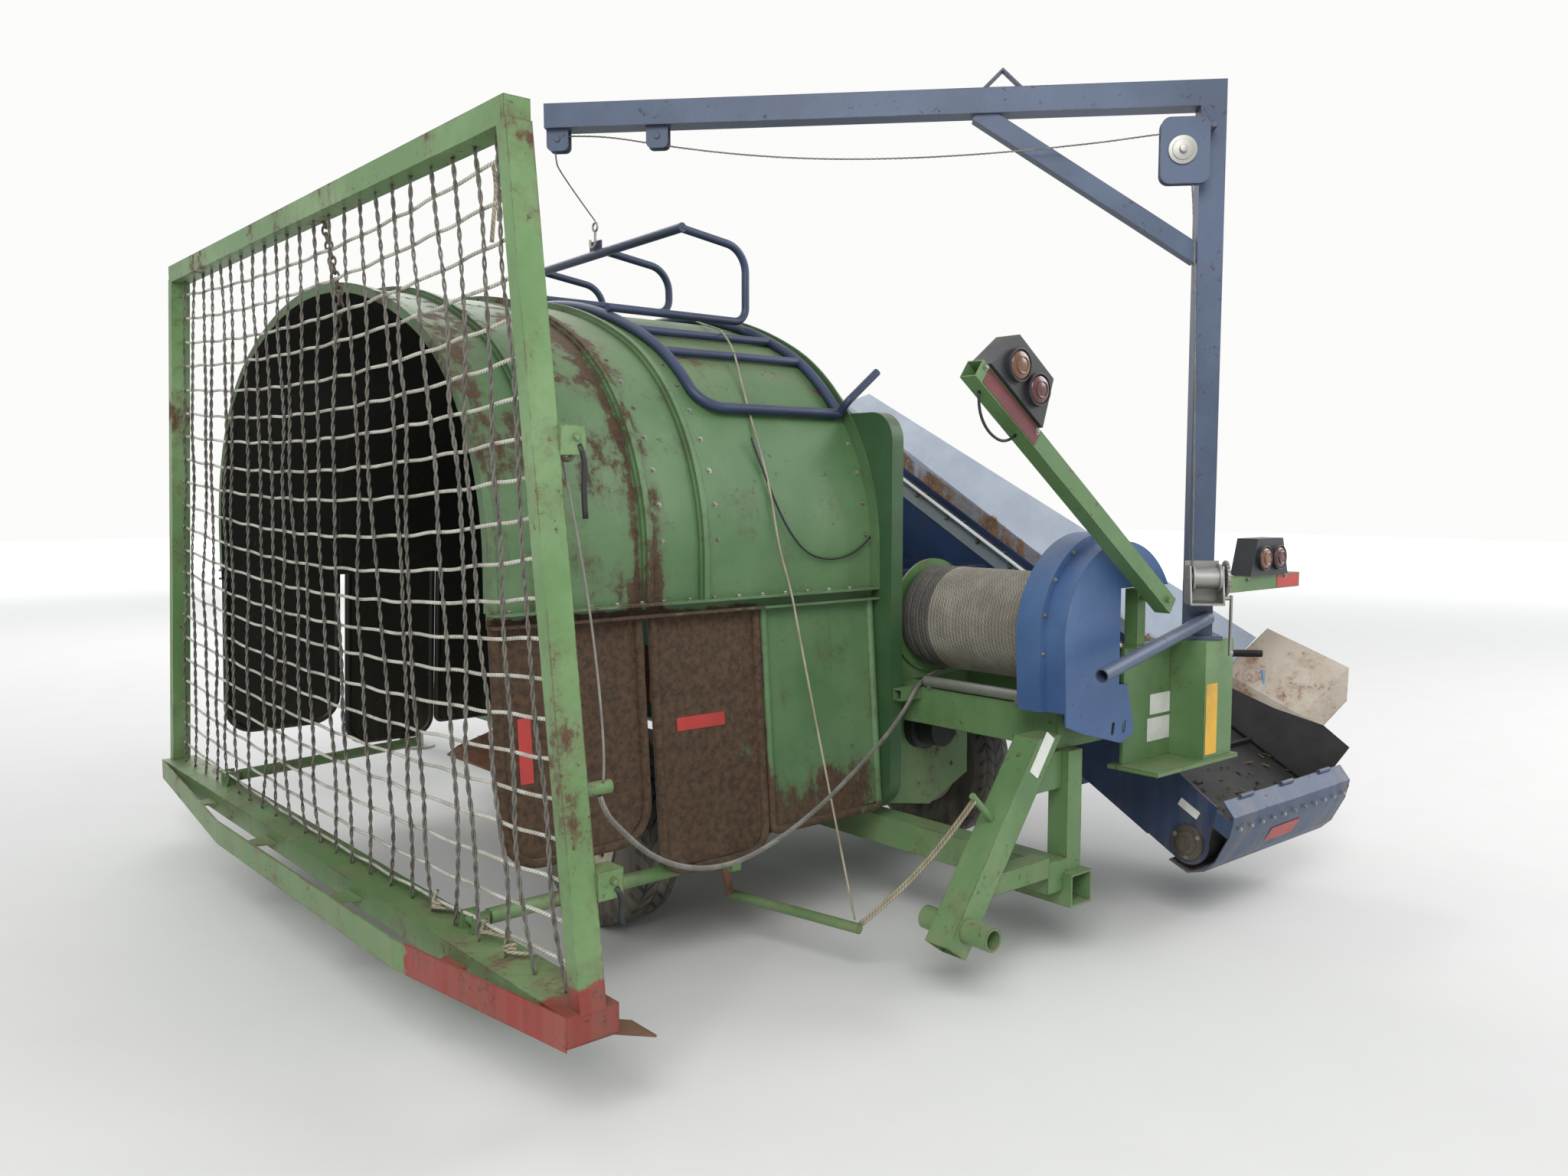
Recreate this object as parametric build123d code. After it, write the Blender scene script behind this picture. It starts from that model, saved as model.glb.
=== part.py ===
from build123d import *
import math
import os

# Silage bagger parked for the road, in millimetres.
# X runs from the tunnel's open rear end to the feed conveyor, Y across the machine to the tow bar, Z up.
# The layout has X = 0 at the tunnel's mouth, Y = 0 in its middle and Z = 0 on the ground.
# At the end every piece is moved so that the origin is under the middle of the whole machine.

# Tunnel
tunnel_length = 1600
tunnel_half_width = 1310
tunnel_top = 2380
seam_height = 1280
corner_radius = 850
corner_height = 1420
skirt_drop = 840
skirt_flare = 65
shell = 6
rib_height = 22
rib_width = 42
rear_section_end = 550
middle_section_end = 780
skirt_split = 570
skirt_middle_end = 1040
edge_tube = 16
skirt_inset = 2
seam_flange = 42
flange_plate = 8
seam_gap = 30
mouth_bead = 14
rear_skirt_drop = 720
middle_skirt_drop = 850
front_skirt_drop = 790
seat = 0.3

# Front wall and rotor
wall_ear_half = 1420
wall_ear_top = 1940
wall_bottom = 430
wall_rim = 60
wall_plate = 8
ear_radius = 110
throat_bottom = 500
throat_top = 905
pan_rear_x = tunnel_length - 520
pan_rear_z = 325
pan_half = 1180
pan_sheet = 8
rotor_x = tunnel_length + 330
rotor_z = 700
rotor_drum_radius = 135
rotor_tooth_radius = 235
rotor_half = 1190
tooth_pitch = 120
tooth_plate = 16
comb_gap = 12
housing_half = 1265
housing_plate = 12
housing_front = tunnel_length + 620
trough_clearance = 14
shaft_radius = 35
shaft_gap = 0.4
tooth_turn = 50
trough_back = 150
trough_lip = 60
housing_foot = 420
gearbox_reach = 60
comb_bar = 60
input_shaft_radius = 17.5
hopper_half = 1235
hopper_split = 420
hopper_back_low = 985
hopper_knee = 1240
hopper_low_top = 1330
hopper_slope_top = 1480
hopper_high_top = 1950
hopper_mouth = 1600
hopper_side = tunnel_length + 755
hopper_clear = 3

# Frame
beam_rear_x = tunnel_length + 120
beam_width = 120
beam_bottom = 760
beam_top = 900
front_beam_width = 80
beam_half = 2100
lower_beam_x = tunnel_length + 30
lower_beam_width = 100
lower_beam_bottom = 280
lower_beam_top = 390
post_size = 80
receiver_size = 115
receiver_wall = 8
receiver_length = 420
receiver_top = 340
receiver_near = -2175
lower_beam_far = beam_half + post_size / 2
cross_size = 70
stub_end = tunnel_length + 12
stub_y = 1422
stub_size = 45
stub_wall = 5
roller_radius = 20
roller_foot = 6
roller_near = 1495
leg_size = 100
leg_wall = 8
leg_y = -2110
leg_top = (tunnel_length + 90, leg_y, 950)
leg_foot = (tunnel_length - 450, leg_y, 200)
leg_hollow = 250
leg_pipe_z = 265
leg_pipe_near = -2265
leg_peg_z = 560
leg_pipe_radius = 38
leg_pipe_bore = 29
leg_pipe_length = 280

# Wheels
tyre_radius = 380
tyre_width = 240
rim_radius = 200
rim_edge = 12
hub_radius = 60
spindle_radius = 28
spindle_gap = 0.4
spindle_reach = 40
hub_half = 75
hub_cap = 26
axle_gap = 3
wheel_y = -700
wheel_rear_x = 790
wheel_front_x = tunnel_length + 1050
axle_size = 80
axle_post = 60
axle_side = 5

# Tow bar
tow_bar_end = 3250
tow_bar_size = 110
hitch_bore = 16
jack_y = 2780
jack_radius = 30
jack_foot_radius = 95
hitch_reach = 130

# Cable drums
drum_x = tunnel_length + 340
drum_z = 1150
drum_inner = 1310
drum_outer = 1990
drum_flange_radius = 225
drum_flange = 10
drum_core_radius = 120
drum_wound_radius = 200
drum_shaft_radius = 25
guard_face = 2200
guard_depth = 180
guard_radius = 350
guard_sheet = 5
guard_bottom = 800
brake_radius = 170
brake_y = 2070
brake_plate = 12
stand_plate = 18
stand_gap = 4
stand_top = 90
guard_step = 28
guard_notch_x = 40
guard_notch_low = 975
guard_cut_top = 906
guard_notch_top = 1310

# Crane
mast_x = tunnel_length + 820
mast_y = -2200
mast_size = 90
mast_base = 1150
boom_top = 3100
boom_size = 90
boom_length = 2450
boom_heading = 133.0
brace_size = 65
mast_pin_radius = 40
socket_size = 190
socket_bottom = 670
socket_top = 1100
mast_gap = 0.5
sheave_radius = 62
hoist_wire_radius = 3.5
wire_clear = 1.3
hook_clear = 5
mast_pin_length = 260
web_left = tunnel_length + 430
brace_drop = 520
brace_reach = 830
bracket_r = 740
lug_half = 24
lug_pin_z = 2974
lug_pin_radius = 11
sheave_r = 118
sheave_t = 92
sheave_z = 2840
sheave_half = 14
cheek = 6
winch_t = 105
winch_z = 1330
crank_length = 210
handle_top = (tunnel_length + 790, -2262, 1180)
handle_end = (tunnel_length + 40, -2330, 1050)
handle_radius = 24

# Lamp arms
lamp_arm_size = 60
lamp_arm_wall = 4
lamp_arm_y = -2262
left_pivot = (tunnel_length + 470, 1270)
left_lift = 36.0
left_reach = 1240
right_pivot = (tunnel_length + 1000, 1270)
right_reach = 760
lamp_width = 300
lamp_height = 150
lamp_depth = 90
lens_radius = 50
pivot_radius = 10
right_arm_y = -2085

# Feed conveyor
conveyor_angle = 29.0
conveyor_tail = (-2200, 330)
conveyor_length = 2860
conveyor_left = tunnel_length + 800
conveyor_right = conveyor_left + 930
pulley_radius = 70
belt_thickness = 10
side_depth = 85
side_height = 470
far_side_height = 105
side_sheet = 6
strip_rise = 10
strip_drop = 66
strip_start = 500
wing_foot = 70
wing_fold = 150
wing_fold_end = 205
wing_flare = 170
wing_edge = 404
wing_edge_end = 275
wing_start = 620
wing_past_head = 540
tail_flare = 255
conveyor_shaft = 25
belt_gap = 14
cleat_pitch = 310
cleat_height = 28
cleat_margin = 55
strip_sheet = 4
bracket_y = -1500
head_post_past = 55
head_post_drop = 65
skirt_lean = 60

# Bag cradle
cradle_rear = tunnel_length - 700
cradle_front = tunnel_length - 40
cradle_tube = 19
cradle_half = 1105
hoop_places = (-600, -50, 500)
ridge_near = (tunnel_length - 370, -615, 2685)
ridge_far = (tunnel_length - 370, 620, 2655)
cross_places = (760, 940)
eye_y = 30

# Backstop
stop_x = -120
stop_middle = -200
stop_half_bottom = 1860
stop_half_top = 1550
stop_top = 2640
stop_beam_top = 360
stop_post_depth = 76
stop_post_width = 52
stop_beam_depth = 150
stop_beam_height = 76
bumper_bow = 110
bumper_height = 90
bumper_plate = 8
bumper_gussets = (0.16, 0.36, 0.58, 0.78)
net_rows = 16
net_columns = 23
net_rope = 5
drum_cable_radius = 8
hook_radius = 6
eye_height = 58
stop_bracket_high = 1775
stop_bracket_low = 655
stop_peg_z = 890
peg_radius = 18
stop_arm_near = -1380
stop_arm_far = 980
arm_front = 900
arm_front_y = 1290
arm_front_z = 360


def block(x0, x1, y0, y1, z0, z1):
    return Pos((x0 + x1) / 2, (y0 + y1) / 2, (z0 + z1) / 2) * Box(abs(x1 - x0), abs(y1 - y0), abs(z1 - z0))


def rod(start, end, radius):
    start, end = Vector(*start), Vector(*end)
    return Solid.make_cylinder(radius, (end - start).length, Plane(start, z_dir=end - start))


def bent_rod(points, bends, radius):
    path = FilletPolyline(*points, radius=bends)
    return sweep(Plane(path @ 0, z_dir=path % 0) * Circle(radius), path=path)


def bar(start, end, width, height, wall=0, side=(0, 1, 0)):
    # A rectangular tube or bar: width is measured along side, height across it.
    start, end = Vector(*start), Vector(*end)
    plane = Plane(start, x_dir=Vector(*side), z_dir=end - start)
    section = Rectangle(width, height)
    if wall:
        section -= Rectangle(width - 2 * wall, height - 2 * wall)
    return extrude(plane * section, amount=(end - start).length)


def mirrored(piece):
    return mirror(piece, about=Plane.XZ)


def side_plate(points, y0, y1):
    # An outline in X and Z, cut from plate between two places along Y.
    y0, y1 = sorted((y0, y1))
    outline = make_face(Polyline(*[(x, y0, z) for x, z in points], close=True))
    return extrude(outline, amount=y1 - y0, dir=(0, 1, 0))


def end_plate(points, x0, x1):
    # An outline in Y and Z, cut from plate between two places along X.
    outline = make_face(Polyline(*[(x0, y, z) for y, z in points], close=True))
    return extrude(outline, amount=x1 - x0, dir=(1, 0, 0))


# The tunnel's arch has three arcs: a wide crown and a tighter arc over each side.
corner_y = tunnel_half_width - corner_radius
crown_rise = tunnel_top - corner_radius
crown_z = (crown_rise ** 2 - corner_y ** 2 - corner_height ** 2) / (2 * (crown_rise - corner_height))
crown_radius = tunnel_top - crown_z
crown_turn = math.atan2(corner_height - crown_z, corner_y)


def arch_points(grow):
    # Springing, middle and end of the side arc, then the top of the crown.
    side = (tunnel_half_width + grow, corner_height)
    middle = (
        corner_y + (corner_radius + grow) * math.cos(crown_turn / 2),
        corner_height + (corner_radius + grow) * math.sin(crown_turn / 2),
    )
    join = (
        corner_y + (corner_radius + grow) * math.cos(crown_turn),
        corner_height + (corner_radius + grow) * math.sin(crown_turn),
    )
    return side, middle, join, (0, tunnel_top + grow)


def arch_face(grow, base=seam_height):
    side, middle, join, top = arch_points(grow)
    left = [(-y, z) for y, z in (side, middle, join)]
    edges = [
        Line((-side[0], base), left[0]),
        ThreePointArc(left[0], left[1], left[2]),
        ThreePointArc(left[2], top, join),
        ThreePointArc(join, middle, side),
        Line(side, (side[0], base)),
        Line((side[0], base), (-side[0], base)),
    ]
    return make_face(edges)


def arch_ring(inner, outer, x0, x1):
    ring = arch_face(outer) - arch_face(inner)
    return Pos(x0, 0, 0) * extrude(Plane.YZ * ring, amount=x1 - x0)


def arch_height(y, grow=0):
    # Height of the arch's outside over a place across the tunnel.
    join = arch_points(grow)[2]
    if abs(y) <= join[0]:
        return crown_z + math.sqrt((crown_radius + grow) ** 2 - y ** 2)
    return corner_height + math.sqrt((corner_radius + grow) ** 2 - (abs(y) - corner_y) ** 2)


def skirt_panel(x0, x1, drop, corner, side):
    # Side panel under the seam, leaning outwards, with a tube round its free edges.
    tilt = math.atan2(skirt_flare, skirt_drop)
    outer = side * (tunnel_half_width + shell)
    top = seam_height - seam_gap - 2 * flange_plate
    into = -flange_plate / 2
    x0 = x0 + edge_tube + skirt_inset
    x1 = x1 - edge_tube - skirt_inset

    def place(x, down):
        return (x, outer + side * down * math.tan(tilt), top - down)

    outline = FilletPolyline(place(x0, into), place(x0, drop), place(x1, drop), place(x1, into), radius=corner)
    face = make_face(outline.edges() + [Line(place(x1, into), place(x0, into))])
    outward = Vector(0, side * math.cos(tilt), math.sin(tilt))
    panel = extrude(face, amount=shell, dir=outward * -1)
    edge = sweep(Plane(outline @ 0, z_dir=outline % 0) * Circle(edge_tube), path=outline)
    return panel + edge


def seam_flanges(x0, x1, side):
    inner = side * tunnel_half_width
    wall = side * (tunnel_half_width + shell)
    outer = side * (tunnel_half_width + shell + seam_flange)
    bottom = seam_height - seam_gap - 2 * flange_plate
    upper = block(x0, x1, inner, outer, seam_height - flange_plate, seam_height)
    lower = block(x0, x1, inner, outer, bottom, bottom + flange_plate)
    web = block(x0, x1, inner, wall, bottom, seam_height)
    return upper + lower + web


def rib(x):
    # A rolled bead round the arch with soft outer edges.
    wide = arch_ring(shell - 1, shell + rib_height / 2, x - rib_width / 2, x + rib_width / 2)
    crest = arch_ring(shell - 1, shell + rib_height, x - rib_width / 4, x + rib_width / 4)
    return wide + crest


def tunnel_rear():
    section = arch_ring(0, shell, 0, rear_section_end)
    section += arch_ring(-mouth_bead, shell + mouth_bead, 0, 2 * mouth_bead)
    section += rib(rear_section_end * 0.4)
    for side in (-1, 1):
        section += seam_flanges(0, rear_section_end, side)
        section += skirt_panel(0, rear_section_end, rear_skirt_drop, 120, side)
    return section


def tunnel_front():
    section = arch_ring(0, shell, rear_section_end + seat, tunnel_length)
    for x in (rear_section_end + seat + rib_width / 2, middle_section_end + rib_width / 2):
        section += rib(x)
    section += arch_ring(shell - 1, shell + seam_flange, tunnel_length - flange_plate, tunnel_length)
    panels = (
        (skirt_split, skirt_middle_end, middle_skirt_drop, 90),
        (skirt_middle_end, tunnel_length, front_skirt_drop, 25),
    )
    for side in (-1, 1):
        section += seam_flanges(rear_section_end + seat, tunnel_length, side)
        for x0, x1, drop, corner in panels:
            section += skirt_panel(x0, x1, drop, corner, side)
    return section


def front_wall():
    # The wall closes the arch, and its square ears stand out past the tunnel's sides.
    def outline(inset):
        half = wall_ear_half - inset
        ears = RectangleRounded(2 * half, wall_ear_top - wall_bottom - 2 * inset, ear_radius - inset)
        ears = Pos(0, (wall_ear_top + wall_bottom) / 2) * ears
        return ears + arch_face(shell - inset, wall_bottom + ear_radius)

    plate_x = tunnel_length + seat
    plate = Pos(plate_x, 0, 0) * extrude(Plane.YZ * outline(0), amount=wall_plate)
    rim = Pos(plate_x, 0, 0) * extrude(Plane.YZ * (outline(0) - outline(wall_plate)), amount=wall_rim)
    throat = block(
        plate_x - 1, plate_x + wall_rim + 1,
        -rotor_half - housing_plate, rotor_half + housing_plate,
        throat_bottom, throat_top,
    )
    return plate + rim - throat


def bag_pan():
    # The rusty tray that the bag's floor slides over, under the front of the tunnel.
    profile = [
        (pan_rear_x, pan_rear_z), (tunnel_length, throat_bottom - 30),
        (tunnel_length, throat_bottom - 30 + pan_sheet), (pan_rear_x, pan_rear_z + pan_sheet),
    ]
    pan = side_plate(profile, -pan_half, pan_half)
    lip = side_plate(
        [(pan_rear_x, pan_rear_z), (pan_rear_x - 60, pan_rear_z - 35),
         (pan_rear_x - 60, pan_rear_z - 35 + pan_sheet), (pan_rear_x, pan_rear_z + pan_sheet)],
        -pan_half, pan_half,
    )
    return pan + lip


def rotor_housing():
    # Two end plates joined by a trough that follows the teeth, with a lip in front.
    inner = rotor_tooth_radius + trough_clearance
    outer = inner + pan_sheet
    trough = Cylinder(outer, 2 * housing_half - 2 * housing_plate, rotation=(90, 0, 0))
    trough -= Cylinder(inner, 2 * housing_half, rotation=(90, 0, 0))
    keep = block(-trough_back, outer + 1, -housing_half, housing_half, -outer - 1, trough_lip)
    trough = Pos(rotor_x, 0, rotor_z) * (trough & keep)
    lip_z = rotor_z + trough_lip
    front = block(
        rotor_x + inner * 0.99, rotor_x + outer, -housing_half + housing_plate,
        housing_half - housing_plate, lip_z - 1, beam_top,
    )
    housing = trough + front
    back = tunnel_length + seat + wall_rim + seat
    outline = [
        (back, housing_foot), (rotor_x + 60, housing_foot - 60), (housing_front, housing_foot + 40),
        (housing_front, beam_top), (back + comb_bar + 30, beam_top),
        (back + comb_bar + 10, throat_top + comb_bar), (back, throat_top + comb_bar),
    ]
    for side in (-1, 1):
        plate = side_plate(outline, side * (housing_half - housing_plate), side * housing_half)
        bearing = Pos(rotor_x, side * (housing_half - housing_plate / 2), rotor_z)
        plate -= bearing * Cylinder(shaft_radius + shaft_gap, 4 * housing_plate, rotation=(90, 0, 0))
        hole_side = side * (housing_half - housing_plate / 2)
        for x, z in ((rotor_x + 185, rotor_z + 60), (rotor_x + 215, rotor_z - 70), (rotor_x + 190, rotor_z - 190)):
            plate -= Pos(x, hole_side, z) * Cylinder(11, 4 * housing_plate, rotation=(90, 0, 0))
        housing += plate
    return housing


def tooth_places():
    count = int(2 * (rotor_half - tooth_pitch / 2) // tooth_pitch)
    first = -tooth_pitch * (count - 1) / 2
    return [first + i * tooth_pitch for i in range(count)]


def rotor():
    # A drum with hooked teeth set round it in a spiral, and a shaft through both end plates.
    drum = Cylinder(rotor_drum_radius, 2 * rotor_half - 2 * tooth_plate, rotation=(90, 0, 0))
    shaft_half = housing_half + gearbox_reach
    rotor_piece = drum + Cylinder(shaft_radius, 2 * shaft_half, rotation=(90, 0, 0))
    root = rotor_drum_radius - 6
    hook = rotor_tooth_radius - rotor_drum_radius
    profile = Polyline(
        (-hook * 0.55, root), (-hook * 0.1, root + hook), (hook * 0.3, rotor_tooth_radius),
        (hook * 0.25, root + hook * 0.6), (hook * 0.55, root), close=True,
    )
    tooth = extrude(Plane.XZ * make_face(profile), amount=tooth_plate / 2, both=True)
    for i, y in enumerate(tooth_places()):
        for turn in (0, 180):
            rotor_piece += Pos(0, y, 0) * Rot(0, i * tooth_turn + turn, 0) * tooth
    return Pos(rotor_x, 0, rotor_z) * rotor_piece


def stripper_comb():
    # Flat fingers stand between the teeth on a bar at the throat's sill.
    back = tunnel_length + seat + wall_rim + seat
    bar_top = throat_top + comb_bar
    half = housing_half - housing_plate - seat
    comb = block(back, back + comb_bar, -half, half, throat_top, bar_top)
    finger = [
        (back, throat_top), (back + comb_bar, throat_top), (back + comb_bar, rotor_z + 60),
        (back + comb_bar * 0.4, rotor_z - 90), (back, rotor_z - 90),
    ]
    for y in tooth_places()[:-1]:
        middle = y + tooth_pitch / 2
        comb += side_plate(finger, middle - tooth_pitch / 2 + tooth_plate / 2 + comb_gap,
                           middle + tooth_pitch / 2 - tooth_plate / 2 - comb_gap)
    return comb


def main_frame():
    # Two upper beams carry the cable drums on their bearing stands.
    rear_front = beam_rear_x + beam_width
    front_back = housing_front + seat
    front_face = front_back + front_beam_width
    frame = block(front_back, front_face, -beam_half, beam_half, beam_bottom, beam_top)
    for side in (-1, 1):
        inner, outer = side * (housing_half + seat), side * beam_half
        frame += block(beam_rear_x, rear_front, inner, outer, beam_bottom, beam_top)
        frame += block(rear_front, front_back, side * (beam_half - post_size), outer, beam_bottom, beam_top)
        # Bearing stands bridge the two beams on both sides of each drum.
        stand = [
            (beam_rear_x + 10, beam_top), (front_face - 10, beam_top),
            (drum_x + stand_top / 2, drum_z + stand_top / 2), (drum_x - stand_top / 2, drum_z + stand_top / 2),
        ]
        for y in (drum_inner - stand_gap - stand_plate, drum_outer + stand_gap):
            frame += side_plate(stand, side * y, side * (y + stand_plate))
        bore = Cylinder(drum_shaft_radius + shaft_gap, drum_outer - drum_inner + 300, rotation=(90, 0, 0))
        frame -= Pos(drum_x, side * (drum_inner + drum_outer) / 2, drum_z) * bore
    # The square stub tube beside the near drum's inner flange.
    near, far = -stub_y - stub_size, -stub_y
    frame += block(stub_end, beam_rear_x + 10, near, far, beam_top - stub_size, beam_top)
    hollow = block(
        stub_end - 1, beam_rear_x - 40, near + stub_wall, far - stub_wall,
        beam_top - stub_size + stub_wall, beam_top - stub_wall,
    )
    return frame - hollow


def lower_beam():
    # The beam under the machine, with a post up to the upper beam at each end.
    beam = block(
        lower_beam_x, lower_beam_x + lower_beam_width, -beam_half - post_size / 2, lower_beam_far,
        lower_beam_bottom, lower_beam_top,
    )
    post_x = lower_beam_x + lower_beam_width
    for side in (-1, 1):
        inner, outer = side * (beam_half - post_size / 2), side * (beam_half + post_size / 2)
        beam += block(post_x, post_x + post_size, inner, outer, receiver_top, beam_bottom - seat)
    return beam - receiver_block(seat)


def receiver_block(grow):
    # The receiver tube's outside, or with a negative value its hollow.
    middle = lower_beam_x + lower_beam_width + post_size / 2
    half = receiver_size / 2 + grow
    return block(
        middle - half, middle + half, receiver_near - abs(grow), receiver_near + receiver_length + abs(grow),
        receiver_top - receiver_size - grow, receiver_top + grow,
    )


def receiver_tube():
    # The open square tube under the near post.
    return receiver_block(0) - receiver_block(-receiver_wall)


def drum_roller():
    # A plain bar under the near drum that the cable leaves over.
    y0, y1 = -drum_outer + 40, -roller_near
    z = beam_top + roller_radius + roller_foot
    x = beam_rear_x - 2
    roller = rod((x, y0, z), (x, y1, z), roller_radius)
    for y in (y0 + 20, y1 - 20):
        roller += block(x - 12, x + 60, y - 6, y + 6, beam_top + seat, z)
    return roller


def support_leg():
    # A trailing leg under the near beam, with a cross tube to the post and an open pipe through its foot.
    top, foot = Vector(*leg_top), Vector(*leg_foot)
    leg = bar(top, foot, leg_size, leg_size)
    run = (foot - top).normalized()
    inside = leg_size - 2 * leg_wall
    leg -= bar(foot - run * leg_hollow, foot + run, inside, inside)
    leg = leg & block(
        leg_foot[0] - 200, lower_beam_x + lower_beam_width + post_size,
        leg_y - leg_size, leg_y + leg_size, 0, beam_bottom + 70,
    )
    leg -= block(
        beam_rear_x - seat, beam_rear_x + 400, leg_y - leg_size, leg_y + leg_size, beam_bottom - 1, beam_top
    )
    cross_bottom = receiver_top
    cross = block(
        leg_at(cross_bottom), lower_beam_x - seat, leg_y - cross_size / 2, leg_y + cross_size / 2,
        cross_bottom, cross_bottom + cross_size,
    )
    cross -= bar(top, foot, inside, inside)
    pipe_x, pipe_z = leg_at(leg_pipe_z), leg_pipe_z
    start = (pipe_x, leg_pipe_near, pipe_z)
    end = (pipe_x, leg_pipe_near + leg_pipe_length, pipe_z)
    leg = leg + cross + rod(start, end, leg_pipe_radius)
    leg -= rod((pipe_x, leg_pipe_near - 1, pipe_z), (pipe_x, end[1] + 1, pipe_z), leg_pipe_bore)
    gusset = [
        (leg_at(beam_bottom) + 40, beam_bottom - seat), (lower_beam_x + lower_beam_width - seat, beam_bottom - seat),
        (lower_beam_x + lower_beam_width - seat, beam_bottom - 130), (leg_at(beam_bottom - 130) + 50, beam_bottom - 130),
    ]
    leg += side_plate(gusset, leg_y - 5, leg_y + 5)
    peg_z = leg_peg_z
    peg_x = leg_at(peg_z)
    leg += rod((peg_x - 20, leg_y, peg_z), (peg_x - 150, leg_y - 10, peg_z + 120), 11)
    return leg


def leg_at(z):
    share = (leg_top[2] - z) / (leg_top[2] - leg_foot[2])
    return leg_top[0] + share * (leg_foot[0] - leg_top[0])


def axle():
    # A drop axle: the beam passes under the lower beam and the pan, and a post at each end holds the spindle.
    half = axle_size / 2
    top = lower_beam_bottom - seat
    inner_face = hub_half + axle_gap
    start, end = wheel_rear_x + inner_face, wheel_front_x - inner_face
    low_start, low_end = wheel_rear_x + tyre_width / 2 + axle_side, wheel_front_x - tyre_width / 2 - axle_side
    beam = block(low_start, low_end, wheel_y - half, wheel_y + half, top - axle_size, top)
    for x0, x1 in ((start, start + axle_post), (end - axle_post, end)):
        beam += block(x0, x1, wheel_y - half, wheel_y + half, top - 1, tyre_radius + half)
    middle = lower_beam_x + lower_beam_width / 2
    reach = lower_beam_width / 2 + axle_post
    for x0, x1 in ((middle - reach, lower_beam_x - seat), (lower_beam_x + lower_beam_width + seat, middle + reach)):
        beam += block(x0, x1, wheel_y - half, wheel_y + half, top - 1, lower_beam_top)
    beam += rod((start + 1, wheel_y, tyre_radius), (wheel_rear_x - spindle_reach, wheel_y, tyre_radius), spindle_radius)
    beam += rod((end - 1, wheel_y, tyre_radius), (wheel_front_x + spindle_reach, wheel_y, tyre_radius), spindle_radius)
    return beam


def tyre(x):
    # Section of the tyre, turned round the axle: bead, side wall, shoulder and tread.
    half = tyre_width / 2
    bead = rim_radius + 4
    outline = Polyline(
        (-half * 0.74, bead), (-half * 0.96, bead + 55), (-half, (bead + tyre_radius) / 2),
        (-half * 0.94, tyre_radius - 45), (-half * 0.72, tyre_radius - 8), (-half * 0.35, tyre_radius),
        (half * 0.35, tyre_radius), (half * 0.72, tyre_radius - 8), (half * 0.94, tyre_radius - 45),
        (half, (bead + tyre_radius) / 2), (half * 0.96, bead + 55), (half * 0.74, bead), close=True,
    )
    ring = revolve(make_face(outline), Axis.X)
    return Pos(x, wheel_y, tyre_radius) * ring


def rim(x, outward):
    # A dished steel wheel: the well, the disc set towards one side and the hub on its spindle.
    half = tyre_width / 2 * 0.74 + 6
    well = Polyline(
        (-half, rim_radius + 3.7), (-half, rim_radius + rim_edge), (-half - 6, rim_radius + rim_edge),
        (-half - 6, rim_radius - 14), (-30, rim_radius - 34), (30, rim_radius - 34),
        (half + 6, rim_radius - 14), (half + 6, rim_radius + rim_edge), (half, rim_radius + rim_edge),
        (half, rim_radius + 3.7),
        close=True,
    )
    piece = revolve(make_face(well), Axis.X)
    disc_x = outward * 20
    disc = Cylinder(rim_radius - 30, 12, rotation=(0, 90, 0))
    for i in range(5):
        disc -= Rot(36 + 72 * i, 0, 0) * Pos(0, 0, 112) * Cylinder(24, 40, rotation=(0, 90, 0))
    piece += Pos(disc_x, 0, 0) * disc
    piece += Cylinder(hub_radius, 2 * hub_half, rotation=(0, 90, 0))
    piece += Pos(outward * (hub_half + hub_cap / 2), 0, 0) * Cylinder(hub_radius * 0.6, hub_cap, rotation=(0, 90, 0))
    bore = Cylinder(spindle_radius + spindle_gap, hub_half + spindle_reach + 1, rotation=(0, 90, 0))
    piece -= Pos(-outward * (hub_half - spindle_reach - 1) / 2, 0, 0) * bore
    return Pos(x, wheel_y, tyre_radius) * piece


def tow_bar():
    # A square tube in line with the lower beam, braced from the front wall, with a hitch tongue.
    middle = lower_beam_x + lower_beam_width / 2
    z = (lower_beam_bottom + lower_beam_top) / 2
    width = lower_beam_width - 2 * seat
    piece = bar((middle, lower_beam_far + seat, z), (middle, tow_bar_end, z), width, tow_bar_size, side=(1, 0, 0))
    eye_y = tow_bar_end + hitch_reach
    tongue = block(middle - 40, middle + 40, tow_bar_end - 1, eye_y, z - 12, z + 12)
    tongue += Pos(middle, eye_y, z) * Cylinder(40, 24)
    tongue -= Pos(middle, eye_y, z) * Cylinder(hitch_bore, 40)
    piece += tongue
    post_x = lower_beam_x + lower_beam_width + post_size
    start = (post_x + brace_size / 2 - 20, beam_half + post_size / 2 + seat + brace_size * 0.4, z)
    end = (middle + width / 2 - 10, tow_bar_end - 480, z)
    piece += bar(start, end, brace_size, brace_size, side=(0, 0, 1))
    return piece


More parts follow.
